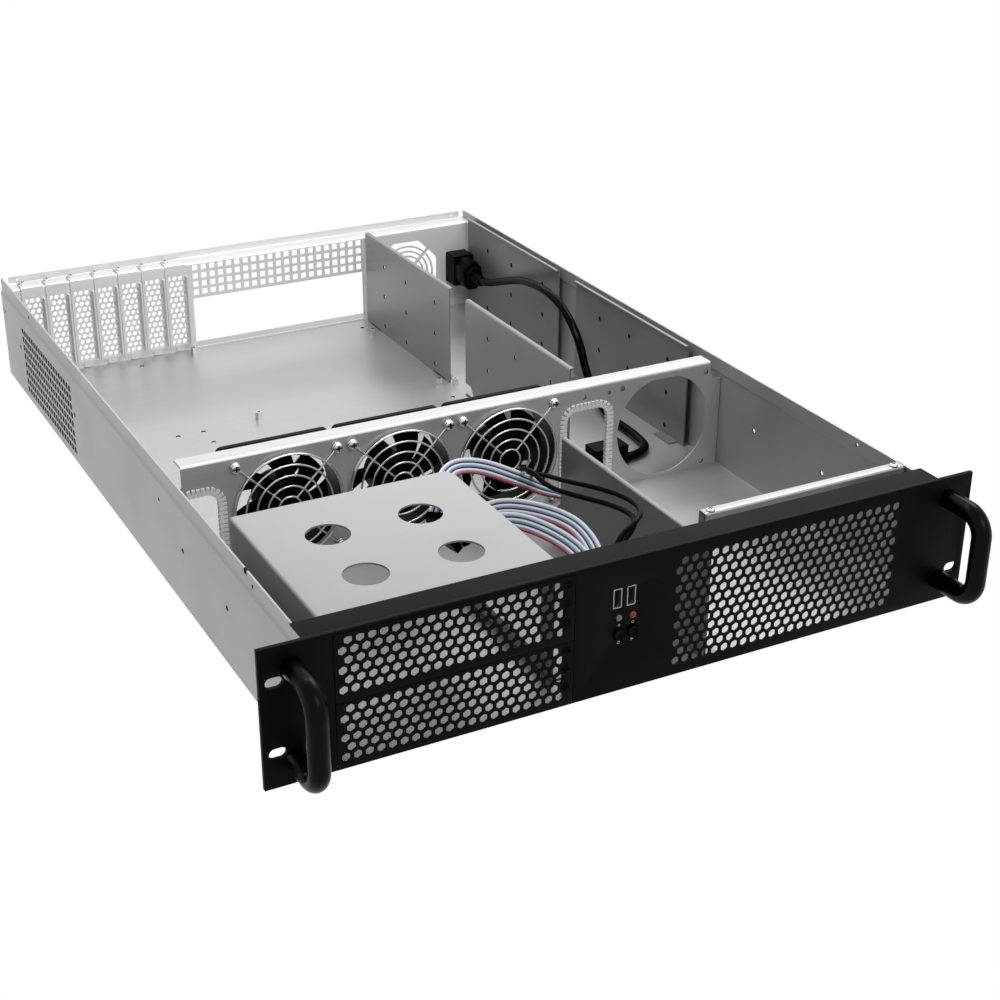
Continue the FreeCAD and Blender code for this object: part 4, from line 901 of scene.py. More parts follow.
# %% Front panel
PANEL_HALF = 241.3
PANEL_THICK = 3.0
FLANGE_HALF = 215.0
FLANGE_BACK = 19.5
HEX_FLATS = 5.15
HEX_STEP = 7.1
HEX_RISE = 6.13
EAR_SLOT = 232.55
plate_outline = [(-PANEL_HALF, 0), (PANEL_HALF, 0), (PANEL_HALF, PANEL_HEIGHT), (FLANGE_HALF, PANEL_HEIGHT),
                 (-FLANGE_HALF, PANEL_HEIGHT), (-PANEL_HALF, PANEL_HEIGHT)]
BAY = (-198.6, -49.1, 86.2)
USB_CENTRES = [(-20.5, 62.7), (-11.2, 62.7)]
LIGHT_CENTRES = [(-19.3, 49.6), (-9.9, 49.6)]
BUTTON_CENTRES = [(-19.3, 39.3), (-9.9, 39.3)]
panel_holes = [[(BAY[0], 0.9), (BAY[1], 0.9), (BAY[1], BAY[2]), (BAY[0], BAY[2])]]
for side in (-1, 1):
    for level in (-1, 1):
        u, v = side * EAR_SLOT, MIDDLE + level * 22.225
        panel_holes.append(around(u, v, 5.2, 3.4, 3.39, 8))
panel_holes += [around(u, v, 3.25, 6.75, 0.6, 2) for u, v in USB_CENTRES]
panel_holes += [ngon(u, v, 2.6, 24) for u, v in LIGHT_CENTRES]
panel_holes += [ngon(u, v, 4.1, 28) for u, v in BUTTON_CENTRES]
front_plate = slab("front_plate", plate_outline, panel_holes, "XZ", 0.0, PANEL_THICK, POWDER_COAT)
flange_path = [(PANEL_THICK - 0.6, PANEL_HEIGHT - 6), (PANEL_THICK - 0.6, PANEL_HEIGHT - 0.6),
               (FLANGE_BACK, PANEL_HEIGHT - 0.6)]
flange = folded("front_flange", flange_path, SHEET, 0.2, "YZ", -FLANGE_HALF, FLANGE_HALF, POWDER_COAT)
hex_ring = ngon(0, 0, HEX_FLATS / math.sqrt(3), 6, math.pi / 6)
hexes = punch_field("panel_hexes", hex_ring, "XZ", 12.0, 23, 12, (21.8, 1.5, 9.5), (HEX_STEP, 0, 0),
                    (0, 0, HEX_RISE), 0.5)
front_plate = soften(front_plate, 0.35)
pocket = box_of("field_pocket", 15.0, 194.0, 1.2, PANEL_THICK + 1, 4.6, 82.5, PAINTED_SHADE)
front_plate = punched(front_plate, [pocket])
front_plate = punched(front_plate, [hexes])
front = joined("front_panel_dressed", [front_plate, flange])
settle_in(shaded(front), "case", "black_coat", "front_panel")
print("front faces", len(front.data.polygons))

# %% [markdown]
# ## Bay covers
# Two covers close the 5.25 inch bay, one above the other, each with hexagons of its own and an
# edge turned back at both sides.  One loop makes both.  A copy wouldn't do, because the side
# edges of the lower one start higher, above the tray's floor.

# %% Bay covers
COVER_STEP = 7.1
COVER_RISE = 6.16
COVER_TALL = 42.75
for label, level in (("lower", 0.0), ("upper", 43.1)):
    low, high = level + (0.05 if label == "lower" else 0.0), level + COVER_TALL
    cover = slab("cover_" + label, oblong(BAY[0] + 0.4, BAY[1] - 0.4, low, high, 0.8, 3), [], "XZ", 0.0, 1.2,
                 POWDER_COAT)
    cover = soften(cover, 0.4)
    field = punch_field("cover_hexes", hex_ring, "XZ", 12.0, 20, 6, (-193.0, 1.0, level + 7.1),
                        (COVER_STEP, 0, 0), (0, 0, COVER_RISE), 0.5)
    cover = punched(cover, [field])
    edge_low = 2.6 if label == "lower" else low
    edges = [box_of("cover_edge", x, x + SHEET, 1.15, 11.6, edge_low, high, POWDER_COAT)
             for x in (BAY[0] + 0.4, BAY[1] - 0.4 - SHEET)]
    dressed = joined("bay_cover_%s_dressed" % label, [cover] + edges)
    settle_in(shaded(dressed), "case", "black_coat", "bay_cover_" + label)
    print("cover", label, len(dressed.data.polygons))

# %% [markdown]
# ## Controls
# Two ports, two lights and two buttons in the black front, with a small plain mark under each light and
# button.
# A turned profile gives lights and buttons their domes and collars, which a cylinder lacks.

# %% Controls
BOARD_FACE = 12.0
ports = []
for u, v in USB_CENTRES:
    shell = slab("port_shell", around(u, v, 2.95, 6.45, 0.5, 2), [around(u, v, 2.3, 5.8, 0.3, 2)], "XZ", 0.5,
                 BOARD_FACE, GALVANISED)
    # A near-black plate at the back of each port: painted shade inside the opening.
    back = prism("port_back", [around(u, v, 2.4, 5.9)], "XZ", 9.0, 9.6, PAINTED_SHADE)
    tongue = prism("port_tongue", [oblong(u - 1.7, u + 0.1, v - 5.2, v + 5.2)], "XZ", 1.2, 9.0, BLACK_PLASTIC)
    contacts = [prism("port_contact", [oblong(u + 0.1, u + 0.28, v + k * 2.4 - 0.5, v + k * 2.4 + 0.5)],
                      "XZ", 2.2, 8.8, BRASS) for k in (-1.5, -0.5, 0.5, 1.5)]
    ports += [shell, back, tongue] + contacts
settle_in(joined("ports", ports), "case", "chrome_wire", "usb_ports")


def turned_piece(name, profile, centre, material, sides=32):
    """A round piece from a profile of (radius, depth) pairs, its axis running to the rear."""
    x, z = centre
    verts = [(u, depth, v) for radius, depth in profile for u, v in ngon(x, z, radius, sides)]
    return shaded(object_of(name, verts, bridged(len(profile), sides), material), 30)


def dome(radius, front, bulge, back):
    """A profile with a domed face."""
    profile = [(radius * math.sin(math.pi / 2 * k / 6), front - bulge * math.cos(math.pi / 2 * k / 6))
               for k in range(1, 7)]
    return profile + [(radius, back)]


for node, centre, radius, material, slot in (
        ("power_light", LIGHT_CENTRES[0], 2.15, CLEAR_LENS, "clear_light"),
        ("drive_light", LIGHT_CENTRES[1], 2.35, RED_LENS, "red_light")):
    lamp = turned_piece(node + "_lens", dome(radius, 0.2, 1.2, BOARD_FACE), centre, material, 24)
    settle_in(lamp, "case", slot, node)
CAP_PROFILE = [(0.6, -1.35), (2.2, -1.45), (2.9, -1.75), (3.3, -1.8), (3.5, -1.6), (3.5, 3.0), (2.0, 3.0),
               (2.0, 3.4), (3.85, 3.4), (3.85, 4.4)]
for node, centre in (("power_button", BUTTON_CENTRES[0]), ("reset_button", BUTTON_CENTRES[1])):
    cap = turned_piece(node + "_cap", CAP_PROFILE, centre, BLACK_PLASTIC, 32)
    settle_in(cap, node + "_body", "button", node)

MARK = -0.06
MARK_BACK = 0.02
MARK_LINE = 0.35


def ring_mark(u, v, radius, sides):
    """A thin printed ring."""
    return slab("mark_ring", ngon(u, v, radius, sides), [ngon(u, v, radius - MARK_LINE, sides)], "XZ", MARK,
                MARK_BACK, MARKING)


marks = [ring_mark(u, v - 4.6, 0.85, 20) for u, v in LIGHT_CENTRES]
u, v = BUTTON_CENTRES[0]
marks.append(ring_mark(u, v - 5.8, 1.0, 24))
marks.append(prism("mark_bar", [oblong(u - 0.18, u + 0.18, v - 5.7, v - 4.4)], "XZ", MARK - 0.01, MARK_BACK,
                   MARKING))
u, v = BUTTON_CENTRES[1]
marks.append(prism("mark_arrow", [[(u - 0.9, v - 6.6), (u + 0.9, v - 5.7), (u - 0.9, v - 4.8)]], "XZ", MARK,
                   MARK_BACK, MARKING))
settle_in(joined("panel_marks", marks), "case", "black_coat")
print("ports", len(USB_CENTRES), "lights", len(LIGHT_CENTRES), "buttons", len(BUTTON_CENTRES))

# %% [markdown]
# ## Handles
# Each bow is one bar bent twice and screwed on from behind.  It could be three cylinders and two
# quarter rings, but one round section led along the bar keeps the highlight unbroken.

# %% Handles
HANDLE_X = 222.5
HANDLE_REACH = 34.0
HANDLE_BAR = 6.35
HANDLE_BEND = 14.0
HANDLE_FEET = (15.5, 73.5)


def bow(name, x):
    """A round bar out of the panel, round two bends and back."""
    spots = [(0.0, HANDLE_FEET[1], (-1.0, 0.0))]
    turns = [(math.sin(math.pi / 2 * k / 10), math.cos(math.pi / 2 * k / 10)) for k in range(11)]
    middle = -HANDLE_REACH + HANDLE_BEND
    spots += [(middle - HANDLE_BEND * high, HANDLE_FEET[1] - HANDLE_BEND + HANDLE_BEND * wide, (-wide, -high))
              for high, wide in turns]
    spots += [(middle - HANDLE_BEND * wide, HANDLE_FEET[0] + HANDLE_BEND - HANDLE_BEND * high, (high, -wide))
              for high, wide in turns]
    spots.append((0.0, HANDLE_FEET[0], (1.0, 0.0)))
    sides = 28
    verts = [(x + across, y - wz * out, z + wy * out)
             for y, z, (wy, wz) in spots for across, out in ngon(0.0, 0.0, HANDLE_BAR, sides)]
    return shaded(object_of(name, verts, bridged(len(spots), sides), SATIN_BLACK))


for label, x in (("left", -HANDLE_X), ("right", HANDLE_X)):
    settle_in(bow("bow_" + label, x), "case", "satin_black", "handle_" + label)
print("bar", 2 * HANDLE_BAR, "mm, reach", HANDLE_REACH + HANDLE_BAR, "mm")

# %% [markdown]
# ## Screws
# A pan head with a cross recess is cut once for each size, and set out wherever the case is
# screwed.  A plain button would be lighter to draw, but the cross is what says screw.
# The recess is a real cut, and its bottom is painted shade, near black, since a painted cross would shine
# like the head.


# %% Screw heads
def screw_seed(name, radius, height, axis, material):
    """A pan head at the origin of the frame, its face towards -Y or +Z."""
    profile = [(radius, 0.0), (radius, -height * 0.45)]
    for k in range(1, 6):
        angle = math.pi / 2 * k / 6
        profile.append((radius * (0.35 + 0.65 * math.cos(angle)), -height * (0.45 + 0.55 * math.sin(angle))))
    head = turned_piece(name, profile, (0.0, MIDDLE), material, 20)
    deep = height * 0.75
    cross = [oblong(-radius * 0.66, radius * 0.66, MIDDLE - radius * 0.15, MIDDLE + radius * 0.15)]
    upright = [oblong(-radius * 0.15, radius * 0.15, MIDDLE - radius * 0.66, MIDDLE + radius * 0.66)]
    head = punched(head, [prism("cross", cross, "XZ", -height - 1, -height + deep)])
    head = punched(head, [prism("upright", upright, "XZ", -height - 1, -height + deep)])
    # The bottom of the recess takes painted shade.
    head.data.materials.append(PAINTED_SHADE)
    for polygon in head.data.polygons:
        if abs(polygon.center.y * 1000 + height - deep) < 0.03:
            polygon.material_index = 1
    if axis == "Z":
        head.data.transform(Matrix.Rotation(-math.pi / 2, 4, "X"))
    elif axis == "back":
        head.data.transform(Matrix.Rotation(math.pi, 4, "Z"))
    return shaded(head)


def screws(name, seed, columns, rows, start, across, up):
    """The same screw in rows and columns."""
    return made_by(ROWS, name, piece=seed, columns=columns, rows=rows, start=at_start(*start),
                   across=metres(*across), up=metres(*up), stagger=0.0, material=seed.data.materials[0])


FAN_X = (-129.9, -47.45, 35.0)
FAN_Z = 42.8
FAN_SCREW = 35.75
FAN_WALL = 239.0
WIRE = 1.8
GUARD_WIRE = 1.45
SLOT_PITCH = 20.32
SLOT_FIRST = -192.2
SLOT_COUNT = 7
SLOT_SCREW = 5.8
TOP_HEAD = 2.9
INLET = (196.4, 39.8)
INLET_SCREW = 20.0
guard_seed = screw_seed("guard_screw_seed", 3.3, 2.2, "front", CHROME)
guard_heads = [screws("guard_screw_pair", guard_seed, 2, 2,
                      (x - FAN_SCREW, FAN_WALL - WIRE * 1.1, FAN_Z - FAN_SCREW),
                      (2 * FAN_SCREW, 0, 0), (0, 0, 2 * FAN_SCREW)) for x in FAN_X]
settle_in(joined("guard_screw_heads", guard_heads), "case", "chrome_wire", "guard_screws")
drop(guard_seed)
top_seed = screw_seed("top_screw_seed", TOP_HEAD, 1.6, "Z", CHROME)
low, high = corners("rail_screws")
first, last = low.x + TOP_HEAD, high.x - TOP_HEAD
settle_in(screws("rail_screw_heads", top_seed, 2, 1, (first, (low.y + high.y) / 2, low.z),
                 (last - first, 0, 0), (0, 0, 1)), "case", "chrome_wire", "rail_screws")
low, high = corners("slot_screws")
settle_in(screws("slot_screw_heads", top_seed, SLOT_COUNT, 1,
                 (SLOT_FIRST - SLOT_SCREW, (low.y + high.y) / 2, low.z),
                 (SLOT_PITCH, 0, 0), (0, 0, 1)), "case", "chrome_wire", "slot_screws")
drop(top_seed)
back_seed = screw_seed("back_screw_seed", 3.3, 1.5, "back", BLACK_PLASTIC)
low = corners("inlet_screws")[0]
settle_in(screws("inlet_screw_heads", back_seed, 1, 2, (INLET[0], low.y, INLET[1] - INLET_SCREW),
                 (1, 0, 0), (0, 0, 2 * INLET_SCREW)), "case", "black_plastic", "inlet_screws")
low = corners("handle_screws")[0]
hidden = [screws("handle_screw_pair", back_seed, 1, 2, (x, low.y, HANDLE_FEET[0]), (1, 0, 0),
                 (0, 0, HANDLE_FEET[1] - HANDLE_FEET[0])) for x in (-HANDLE_X, HANDLE_X)]
for item in hidden:
    item.data.materials.clear()
    item.data.materials.append(CHROME)
settle_in(joined("handle_screw_heads", hidden), "case", "chrome_wire", "handle_screws")
drop(back_seed)
print("screw heads", 4 * len(FAN_X) + 2 + SLOT_COUNT + 2 + 4)

# %% [markdown]
# ## Drive cage
# A light plate folded down at both sides over the 5.25 inch bay, with four large round holes.
# It is one bent sheet, open towards the board side, where the ribbons come out.

# %% Drive cage
CAGE_LEFT, CAGE_RIGHT = -198.4, -49.3
CAGE_FRONT, CAGE_REAR = 23.5, 158.7
CAGE_TOP = 85.5
cage_path = [(CAGE_LEFT + SHEET / 2, 2.3), (CAGE_LEFT + SHEET / 2, CAGE_TOP - SHEET / 2),
             (CAGE_RIGHT - SHEET / 2, CAGE_TOP - SHEET / 2), (CAGE_RIGHT - SHEET / 2, 2.2 + SHEET / 2),
             (CAGE_RIGHT + 8.0, 2.2 + SHEET / 2)]
cage = folded("cage", cage_path, SHEET, 0.8, "XZ", CAGE_FRONT, CAGE_REAR, LIGHT_STEEL)
cage_x = (CAGE_LEFT + CAGE_RIGHT) / 2
cage_holes = [ngon(cage_x + i * 30.3, CAGE_FRONT + 60.1 + j * 27.6, 13.75, 48)
              for i in (-1, 1) for j in (-1, 1)]
cage = punched(cage, [
    prism("cage_punch", cage_holes, "XY", CAGE_TOP - 5, CAGE_TOP + 3),
    box_of("cage_window", CAGE_RIGHT - 5, CAGE_RIGHT + 5, CAGE_FRONT + 14, CAGE_REAR + 5, 13.5, 73.5, PAINTED_SHADE),
    prism("cage_corner", [[(CAGE_RIGHT - 5.2, CAGE_REAR + 1), (CAGE_RIGHT + 2, CAGE_REAR + 1),
                           (CAGE_RIGHT + 2, CAGE_REAR - 12)]], "XY", CAGE_TOP - 14, CAGE_TOP + 3),
])
settle_in(shaded(cage), "case", "light_steel", "drive_bay_cage")
print("cage faces", len(cage.data.polygons))

# %% [markdown]
# ## Fan wall
# A cross wall with three fans, one empty place for a fourth, and two cable openings edged in
# white nylon.  The edging could be a plain tube, but its notches are what the eye finds first,
# so a tree sets small teeth along the edge of each opening, on both faces of the sheet.

# %% Fan wall
WALL_HALF = 212.5
WALL_TOP_EDGE = 85.9
SPARE = (163.3, FAN_Z)
FAN_BORE = 38.0
SCREW_HOLE = 2.1
wall = folded("cross_wall", [(FAN_WALL + SHEET / 2, 2.2), (FAN_WALL + SHEET / 2, WALL_TOP_EDGE - SHEET / 2),
                             (FAN_WALL + 13.5, WALL_TOP_EDGE - SHEET / 2)],
              SHEET, 0.8, "YZ", -WALL_HALF, WALL_HALF, LIT_WALL_STEEL)


def clipped(ring, top, right):
    """A ring held back to a flat top and a flat right side."""
    return [(min(u, right), min(v, top)) for u, v in ring]


WINDOW = (79.5, 117.0, 70.5)
NOTCH = (-207.0, -176.0, 65.5)
NOTCH_FOOT = 20.0
CORNER = 10.0
window = [(WINDOW[0], -1.0), (WINDOW[1], -1.0)]
for middle_x, first in ((WINDOW[1] - CORNER, 0), (WINDOW[0] + CORNER, 90)):
    window += arc(middle_x, WINDOW[2] - CORNER, CORNER, first, 6)
wall_rings = [ngon(x, FAN_Z, FAN_BORE, 64) for x in FAN_X]
wall_rings.append(clipped(ngon(SPARE[0], SPARE[1], 38.8, 64), SPARE[1] + 37.2, SPARE[0] + 36.8))
small_rings = [ngon(SPARE[0] + i * FAN_SCREW, SPARE[1] + j * FAN_SCREW, SCREW_HOLE, 20)
               for i in (-1, 1) for j in (-1, 1)]
small_rings += [ngon(96.0, 77.6, 1.7, 16), ngon(116.5, 77.6, 1.5, 16)]
wall_rings += [window, oblong(NOTCH[0], NOTCH[1], NOTCH_FOOT, NOTCH[2], 9.9, 6)]
wall = punched(wall, [
    prism("wall_punch", wall_rings, "XZ", FAN_WALL - 2, FAN_WALL + 4),
    box_of("wall_left_step", -WALL_HALF - 2, -201.7, FAN_WALL - 3, FAN_WALL + 20, 71.6, 95, PAINTED_SHADE),
    prism("wall_right_step", [oblong(202.8, 226.0, 71.6, 108.0, 8.0, 8)], "XZ", FAN_WALL - 3, FAN_WALL + 20),
])
# The walls of the small holes take painted shade from the tool.
wall = punched(wall, [prism("wall_small", small_rings, "XZ", FAN_WALL - 2, FAN_WALL + 4)], True)
foot = box_of("wall_foot", -192.5, 66.0, FAN_WALL - 10, FAN_WALL + 0.1, 2.2, 3.4, LIT_WALL_STEEL)
wall = joined("fan_wall_dressed", [wall, foot])
settle_in(shaded(wall), "case", "galvanised", "fan_wall")


def edging(name, left, right, top, foot_z, node):
    """A castellated nylon strip round an opening: a thin spine, and teeth on both faces of the sheet."""
    line = [(right, foot_z)]
    for centre, first in ((right - CORNER, 0), (left + CORNER, 90)):
        line += arc(centre, top - CORNER, CORNER, first, 8)
    line.append((left, foot_z))
    inner = []
    outer = []
    for k, (u, v) in enumerate(line):
        before = line[max(k - 1, 0)]
        after = line[min(k + 1, len(line) - 1)]
        along = Vector((after[0] - before[0], after[1] - before[1])).normalized()
        side = Vector((-along.y, along.x))
        inner.append((u + side.x * 1.6, v + side.y * 1.6))
        outer.append((u + side.x * 0.02, v + side.y * 0.02))
    spine = slab(name + "_spine", outer + inner[::-1], [], "XZ", FAN_WALL - 1.2, FAN_WALL + SHEET + 1.2,
                 NYLON)
    curve = bpy.data.curves.new(name + "_line", "CURVE")
    curve.dimensions = "3D"
    spline = curve.splines.new("POLY")
    spline.points.add(len(line) - 1)
    for point, (u, v) in zip(spline.points, line):
        point.co = (*place(u, FAN_WALL + SHEET / 2, v), 1.0)
    guide = bpy.data.objects.new(name + "_line", curve)
    collection.objects.link(guide)
    teeth = []
    for near, far in ((-1.9, -0.6), (0.6, 1.9)):
        seed = box_of(name + "_tooth", -1.2, 1.2, near, far, MIDDLE - 3.2, MIDDLE + 2.4, NYLON)
        seed = soften(seed, 0.3, 1)
        teeth.append(made_by(TEETH, name + "_teeth", piece=seed, line=guide, pitch=0.0031, material=NYLON))
        drop(seed)
    bpy.data.objects.remove(guide)
    bpy.data.curves.remove(curve)
    settle_in(joined(name, [spine] + teeth), "case", "white_nylon", node)


edging("right_edging", WINDOW[0], WINDOW[1], WINDOW[2], 2.3, "edging_right")
edging("left_edging", NOTCH[0], NOTCH[1], NOTCH[2], NOTCH_FOOT, "edging_left")
print("openings", len(wall_rings), "small holes", len(small_rings))

# %% [markdown]
# ## Fans
# Each fan is a square moulded frame, a rotor with seven curved blades, and a bright wire guard
# with five rings on the front of the wall.  Flat paddles would do for a source model, but a
# blade that twists and thins towards its edges gives the crescent shadows seen through the guard.

# %% Fans
FAN_BACK = FAN_WALL + SHEET
FAN_DEPTH = 25.0
FAN_HALF = 40.0
FAN_FLANGE = 4.0
MOUNT_PROFILE = [(1.7, 22.0), (16.5, 22.0), (17.0, 22.4), (17.0, 25.0), (1.7, 25.0)]
HUB_PROFILE = [(3.0, 0.5), (12.0, 0.0), (15.2, 0.25), (16.5, 1.1), (17.0, 2.6), (17.0, 17.0), (1.6, 17.0),
               (1.6, 21.8)]
BLADES = 7
GUARD_RINGS = 5


def blade_seed():
    """One blade that twists from hub to tip, thin at its edges."""
    verts = []
    faces = []
    spans, chords = 7, 8
    for side in (1, -1):
        for i in range(spans + 1):
            t = i / spans
            radius = 15.5 + (34.0 - 15.5) * t
            sweep = math.radians(-6 + 20 * t)
            width = math.radians(37 - 2 * t)
            lean = math.radians(40 - 12 * t)
            for j in range(chords + 1):
                s = j / chords - 0.5
                angle = sweep + width * s
                arch = 0.9 * (1 - (2 * s) ** 2)
                depth = math.tan(lean) * radius * width * s * 0.62 + arch * 1.4
                depth += side * 0.55 * math.sqrt(max(0.02, 1 - (2 * s) ** 2))
                verts.append((radius * math.cos(angle), depth, MIDDLE + radius * math.sin(angle)))
    row = chords + 1
    layer = (spans + 1) * row
    for i in range(spans):
        for j in range(chords):
            a = i * row + j
            faces.append((a, a + 1, a + row + 1, a + row))
            faces.append((layer + a, layer + a + row, layer + a + row + 1, layer + a + 1))
    for i in range(spans):
        a = i * row
        faces.append((a, a + row, layer + a + row, layer + a))
        b = a + chords
        faces.append((b, layer + b, layer + b + row, b + row))
    for j in range(chords):
        faces.append((j, layer + j, layer + j + 1, j + 1))
        a = spans * row + j
        faces.append((a, a + 1, layer + a + 1, layer + a))
    return shaded(object_of("blade_seed", verts, faces, BLACK_PLASTIC), 60)


blade = blade_seed()
for number, x in enumerate(FAN_X, 1):
    bore = [ngon(x, FAN_Z, FAN_BORE, 56)]
    mounting = [ngon(x + i * FAN_SCREW, FAN_Z + j * FAN_SCREW, SCREW_HOLE, 12)
                for i in (-1, 1) for j in (-1, 1)]
    square = around(x, FAN_Z, FAN_HALF, FAN_HALF, 4.5, 5)
    front_end, rear_end = FAN_BACK + FAN_FLANGE, FAN_BACK + FAN_DEPTH - FAN_FLANGE
    shells = [slab("fan_front", square, bore + mounting, "XZ", FAN_BACK, front_end, BLACK_PLASTIC),
              slab("fan_barrel", ngon(x, FAN_Z, 39.8, 56), bore, "XZ", front_end, rear_end, BLACK_PLASTIC),
              slab("fan_rear", square, bore + mounting, "XZ", rear_end, FAN_BACK + FAN_DEPTH, BLACK_PLASTIC)]
    mount = turned_piece("fan_mount", [(radius, depth + FAN_BACK) for radius, depth in MOUNT_PROFILE],
                         (x, FAN_Z), BLACK_PLASTIC, 40)
    strut = prism("strut_seed", [oblong(16.0, 38.4, MIDDLE - 1.8, MIDDLE + 1.8, 0.6, 2)], "XZ", 0.0, 2.8,
                  BLACK_PLASTIC)
    struts = made_by(ROUND, "fan_struts", piece=strut, count=4, centre=at_start(x, FAN_BACK + 22.1, FAN_Z),
                     first_angle=math.radians(45), material=BLACK_PLASTIC)
    drop(strut)
    settle_in(shaded(joined("fan_%d_frame" % number, shells + [mount, struts])), "case", "black_plastic",
              "fan_frame_%d" % number)
    hub_front = FAN_BACK + 3.0
    hub = turned_piece("fan_hub", [(radius, hub_front + depth) for radius, depth in HUB_PROFILE],
                       (x, FAN_Z), BLACK_PLASTIC, 48)
    blades = made_by(ROUND, "fan_blades", piece=blade, count=BLADES,
                     centre=at_start(x, hub_front + 8.5, FAN_Z), first_angle=0.35 * number,
                     material=BLACK_PLASTIC)
    settle_in(shaded(joined("fan_%d_rotor" % number, [hub, blades]), 50), "spinner_%d" % number,
              "black_plastic", "fan_rotor_%d" % number)
    guard = made_by(GUARD, "fan_%d_guard" % number, centre=at_start(x, FAN_WALL - 1.5 * WIRE, FAN_Z),
                    rings=GUARD_RINGS, first_ring=0.0080, ring_step=0.0076,
                    corner=FAN_SCREW * math.sqrt(2) / 1000, eyelet=0.0031, wire=GUARD_WIRE / 1000,
                    material=CHROME)
    settle_in(shaded(guard, 60), "case", "chrome_wire", "fan_guard_%d" % number)
    print("fan", number, "guard faces", len(guard.data.polygons))
drop(blade)

# %% [markdown]
# ## Divider and rail
# The divider closes the power supply bay, and the rail ties its top to the right wall.  Both are
# narrow strips bent in a press.  The rail's end plates are separate blocks joined to its strip,
# because a path across its folds can't turn round its ends as well.

# %% Divider and rail
divider = folded("divider", [(47.3, 79.4), (45.1, 79.4), (45.1, 2.8), (56.5, 2.8)], SHEET, 0.4, "XZ",
                 3.0, 181.0, SHADED_PLATE_STEEL)
settle_in(shaded(divider), "case", "galvanised", "divider_plate")
high = corners("front_rail")[1]
RAIL_TOP = high.z
rail = folded("rail", [(30.1, RAIL_TOP - 9.0), (30.1, RAIL_TOP - 0.6), (36.5, RAIL_TOP - 0.6)], SHEET, 0.6,
              "YZ", 58.0, high.x, GALVANISED)
gusset = [box_of("rail_gusset", high.x - 1.2, high.x, 29.5, 44.5, RAIL_TOP - 17, RAIL_TOP, GALVANISED),
          box_of("rail_post", 58.0, 59.2, 29.5, 36.5, 65.9, RAIL_TOP, GALVANISED),
          box_of("rail_arm", 45.7, 59.2, 29.5, 30.7, 65.9, 75.9, GALVANISED)]
settle_in(shaded(joined("rail_dressed", [rail] + gusset)), "case", "galvanised", "front_rail")
print("rail top", round(RAIL_TOP, 1), "mm")

# %% [markdown]
# ## Drive plates
# Four plates on edge carry the drives, two in a row along the board bay and two along the right
# wall.  Each is a folded path with nine round holes and two feet.  One loop makes all four, and
# a sign turns the lip of the right pair inwards, which a plain copy would turn the wrong way.

# %% Drive plates
DRIVE_LEVELS = (10.0, 37.3, 64.5)
PLATE_LENGTH = 167.5
DRIVE_HOLE = 1.9
for number, x, start, way in ((1, 104.5, 472.0, 1), (2, 104.5, 275.0, 1),
                              (3, 207.0, 472.0, -1), (4, 207.0, 275.0, -1)):
    centre = x + SHEET / 2
    path = [(centre + way * 2.9, 84.4), (centre, 84.4), (centre, 2.3)]
    plate = folded("plate", path, SHEET, 0.4, "XZ", start, start + PLATE_LENGTH, SHADED_PLATE_STEEL)
    rings = [ngon(start + off, level, DRIVE_HOLE, 16)
             for off in (26.9, 83.4, 128.5) for level in DRIVE_LEVELS]
    tools = [prism("plate_punch", rings, "YZ", x - 4, x + 5)]
    if number == 2:
        tools.append(prism("plate_corner", [[(start + 151, 3.5), (start + 169, 3.5), (start + 169, 13.0),
                                             (start + 158, 13.0)]], "YZ", x - 4, x + 5))
    # The walls of the round holes take painted shade from the tool.
    plate = punched(plate, tools, True)
    left = x if way > 0 else x + SHEET - 9.0
    feet = [box_of("plate_foot", left, left + 9.0, start + off, start + off + 22, 2.2, 3.4, SHADED_PLATE_STEEL)
            for off in (8.0, 137.5)]
    settle_in(shaded(joined("drive_plate_%d_dressed" % number, [plate] + feet)), "case", "galvanised",
              "drive_plate_%d" % number)
    print("drive plate", number, "holes", len(rings))

# %% [markdown]
# ## Rear panel
# Seven card slots, the opening for the board's connectors, a grid of square holes, a round
# grille and the power inlet, all in one sheet that folds back into a shelf and up into a lip.
# The grille is worked out as bands cut in quarters, and its outer band ends in an octagon.

# %% Rear panel
REAR = 645.0
SHELF = 79.7
rear_half = corners("rear_panel")[1].x
rear_path = [(REAR - SHEET / 2, 2.2), (REAR - SHEET / 2, SHELF - SHEET / 2),
             (BODY_REAR - SHEET / 2, SHELF - SHEET / 2), (BODY_REAR - SHEET / 2, WALL_TOP)]
rear = folded("rear", rear_path, SHEET, 0.5, "YZ", -rear_half, rear_half, REAR_STEEL)
slot_x = [SLOT_FIRST + SLOT_PITCH * k for k in range(SLOT_COUNT)]
rear_rings = [oblong(x - 6.4, x + 6.4, 9.5, 73.0) for x in slot_x]
rear_rings.append(oblong(-55.9, 102.85, 3.4, 47.85))
rear_rings.append(oblong(186.1, 206.7, 25.5, 54.1, 1.5, 3))
GRILLE = (146.0, 38.3)
GRILLE_HALF = 30.6
for band_number in range(6):
    near = 4.0 + band_number * 4.6
    far = near + 3.1
    for quarter in range(4):
        first = math.pi / 4 + math.pi / 2 * quarter
        ring = []
        for radius, order in ((far, 1), (near, -1)):
            gap = math.asin(min(0.9, 1.2 / radius))
            edge = []
            for k in range(13):
                angle = first + gap + (math.pi / 2 - 2 * gap) * k / 12
                off = (angle + math.pi / 8) % (math.pi / 4) - math.pi / 8
                reach = GRILLE_HALF / math.cos(off) if band_number == 5 and order > 0 else radius
                edge.append((GRILLE[0] + reach * math.cos(angle), GRILLE[1] + reach * math.sin(angle)))
            ring += edge[::order]
        rear_rings.append(ring)
grid = punch_field("rear_grid", around(0, 0, 2.55, 2.55), "XZ", 8.0, 21, 4, (-52.5, REAR - 0.6, 53.2),
                   (7.6, 0, 0), (0, 0, 7.3))
lip_ends = [box_of("lip_end", x0, x1, BODY_REAR - 3, BODY_REAR + 2, SHELF + 0.3, WALL_TOP + 2, PAINTED_SHADE)
            for x0, x1 in ((-rear_half - 2, -207.0), (207.0, rear_half + 2))]
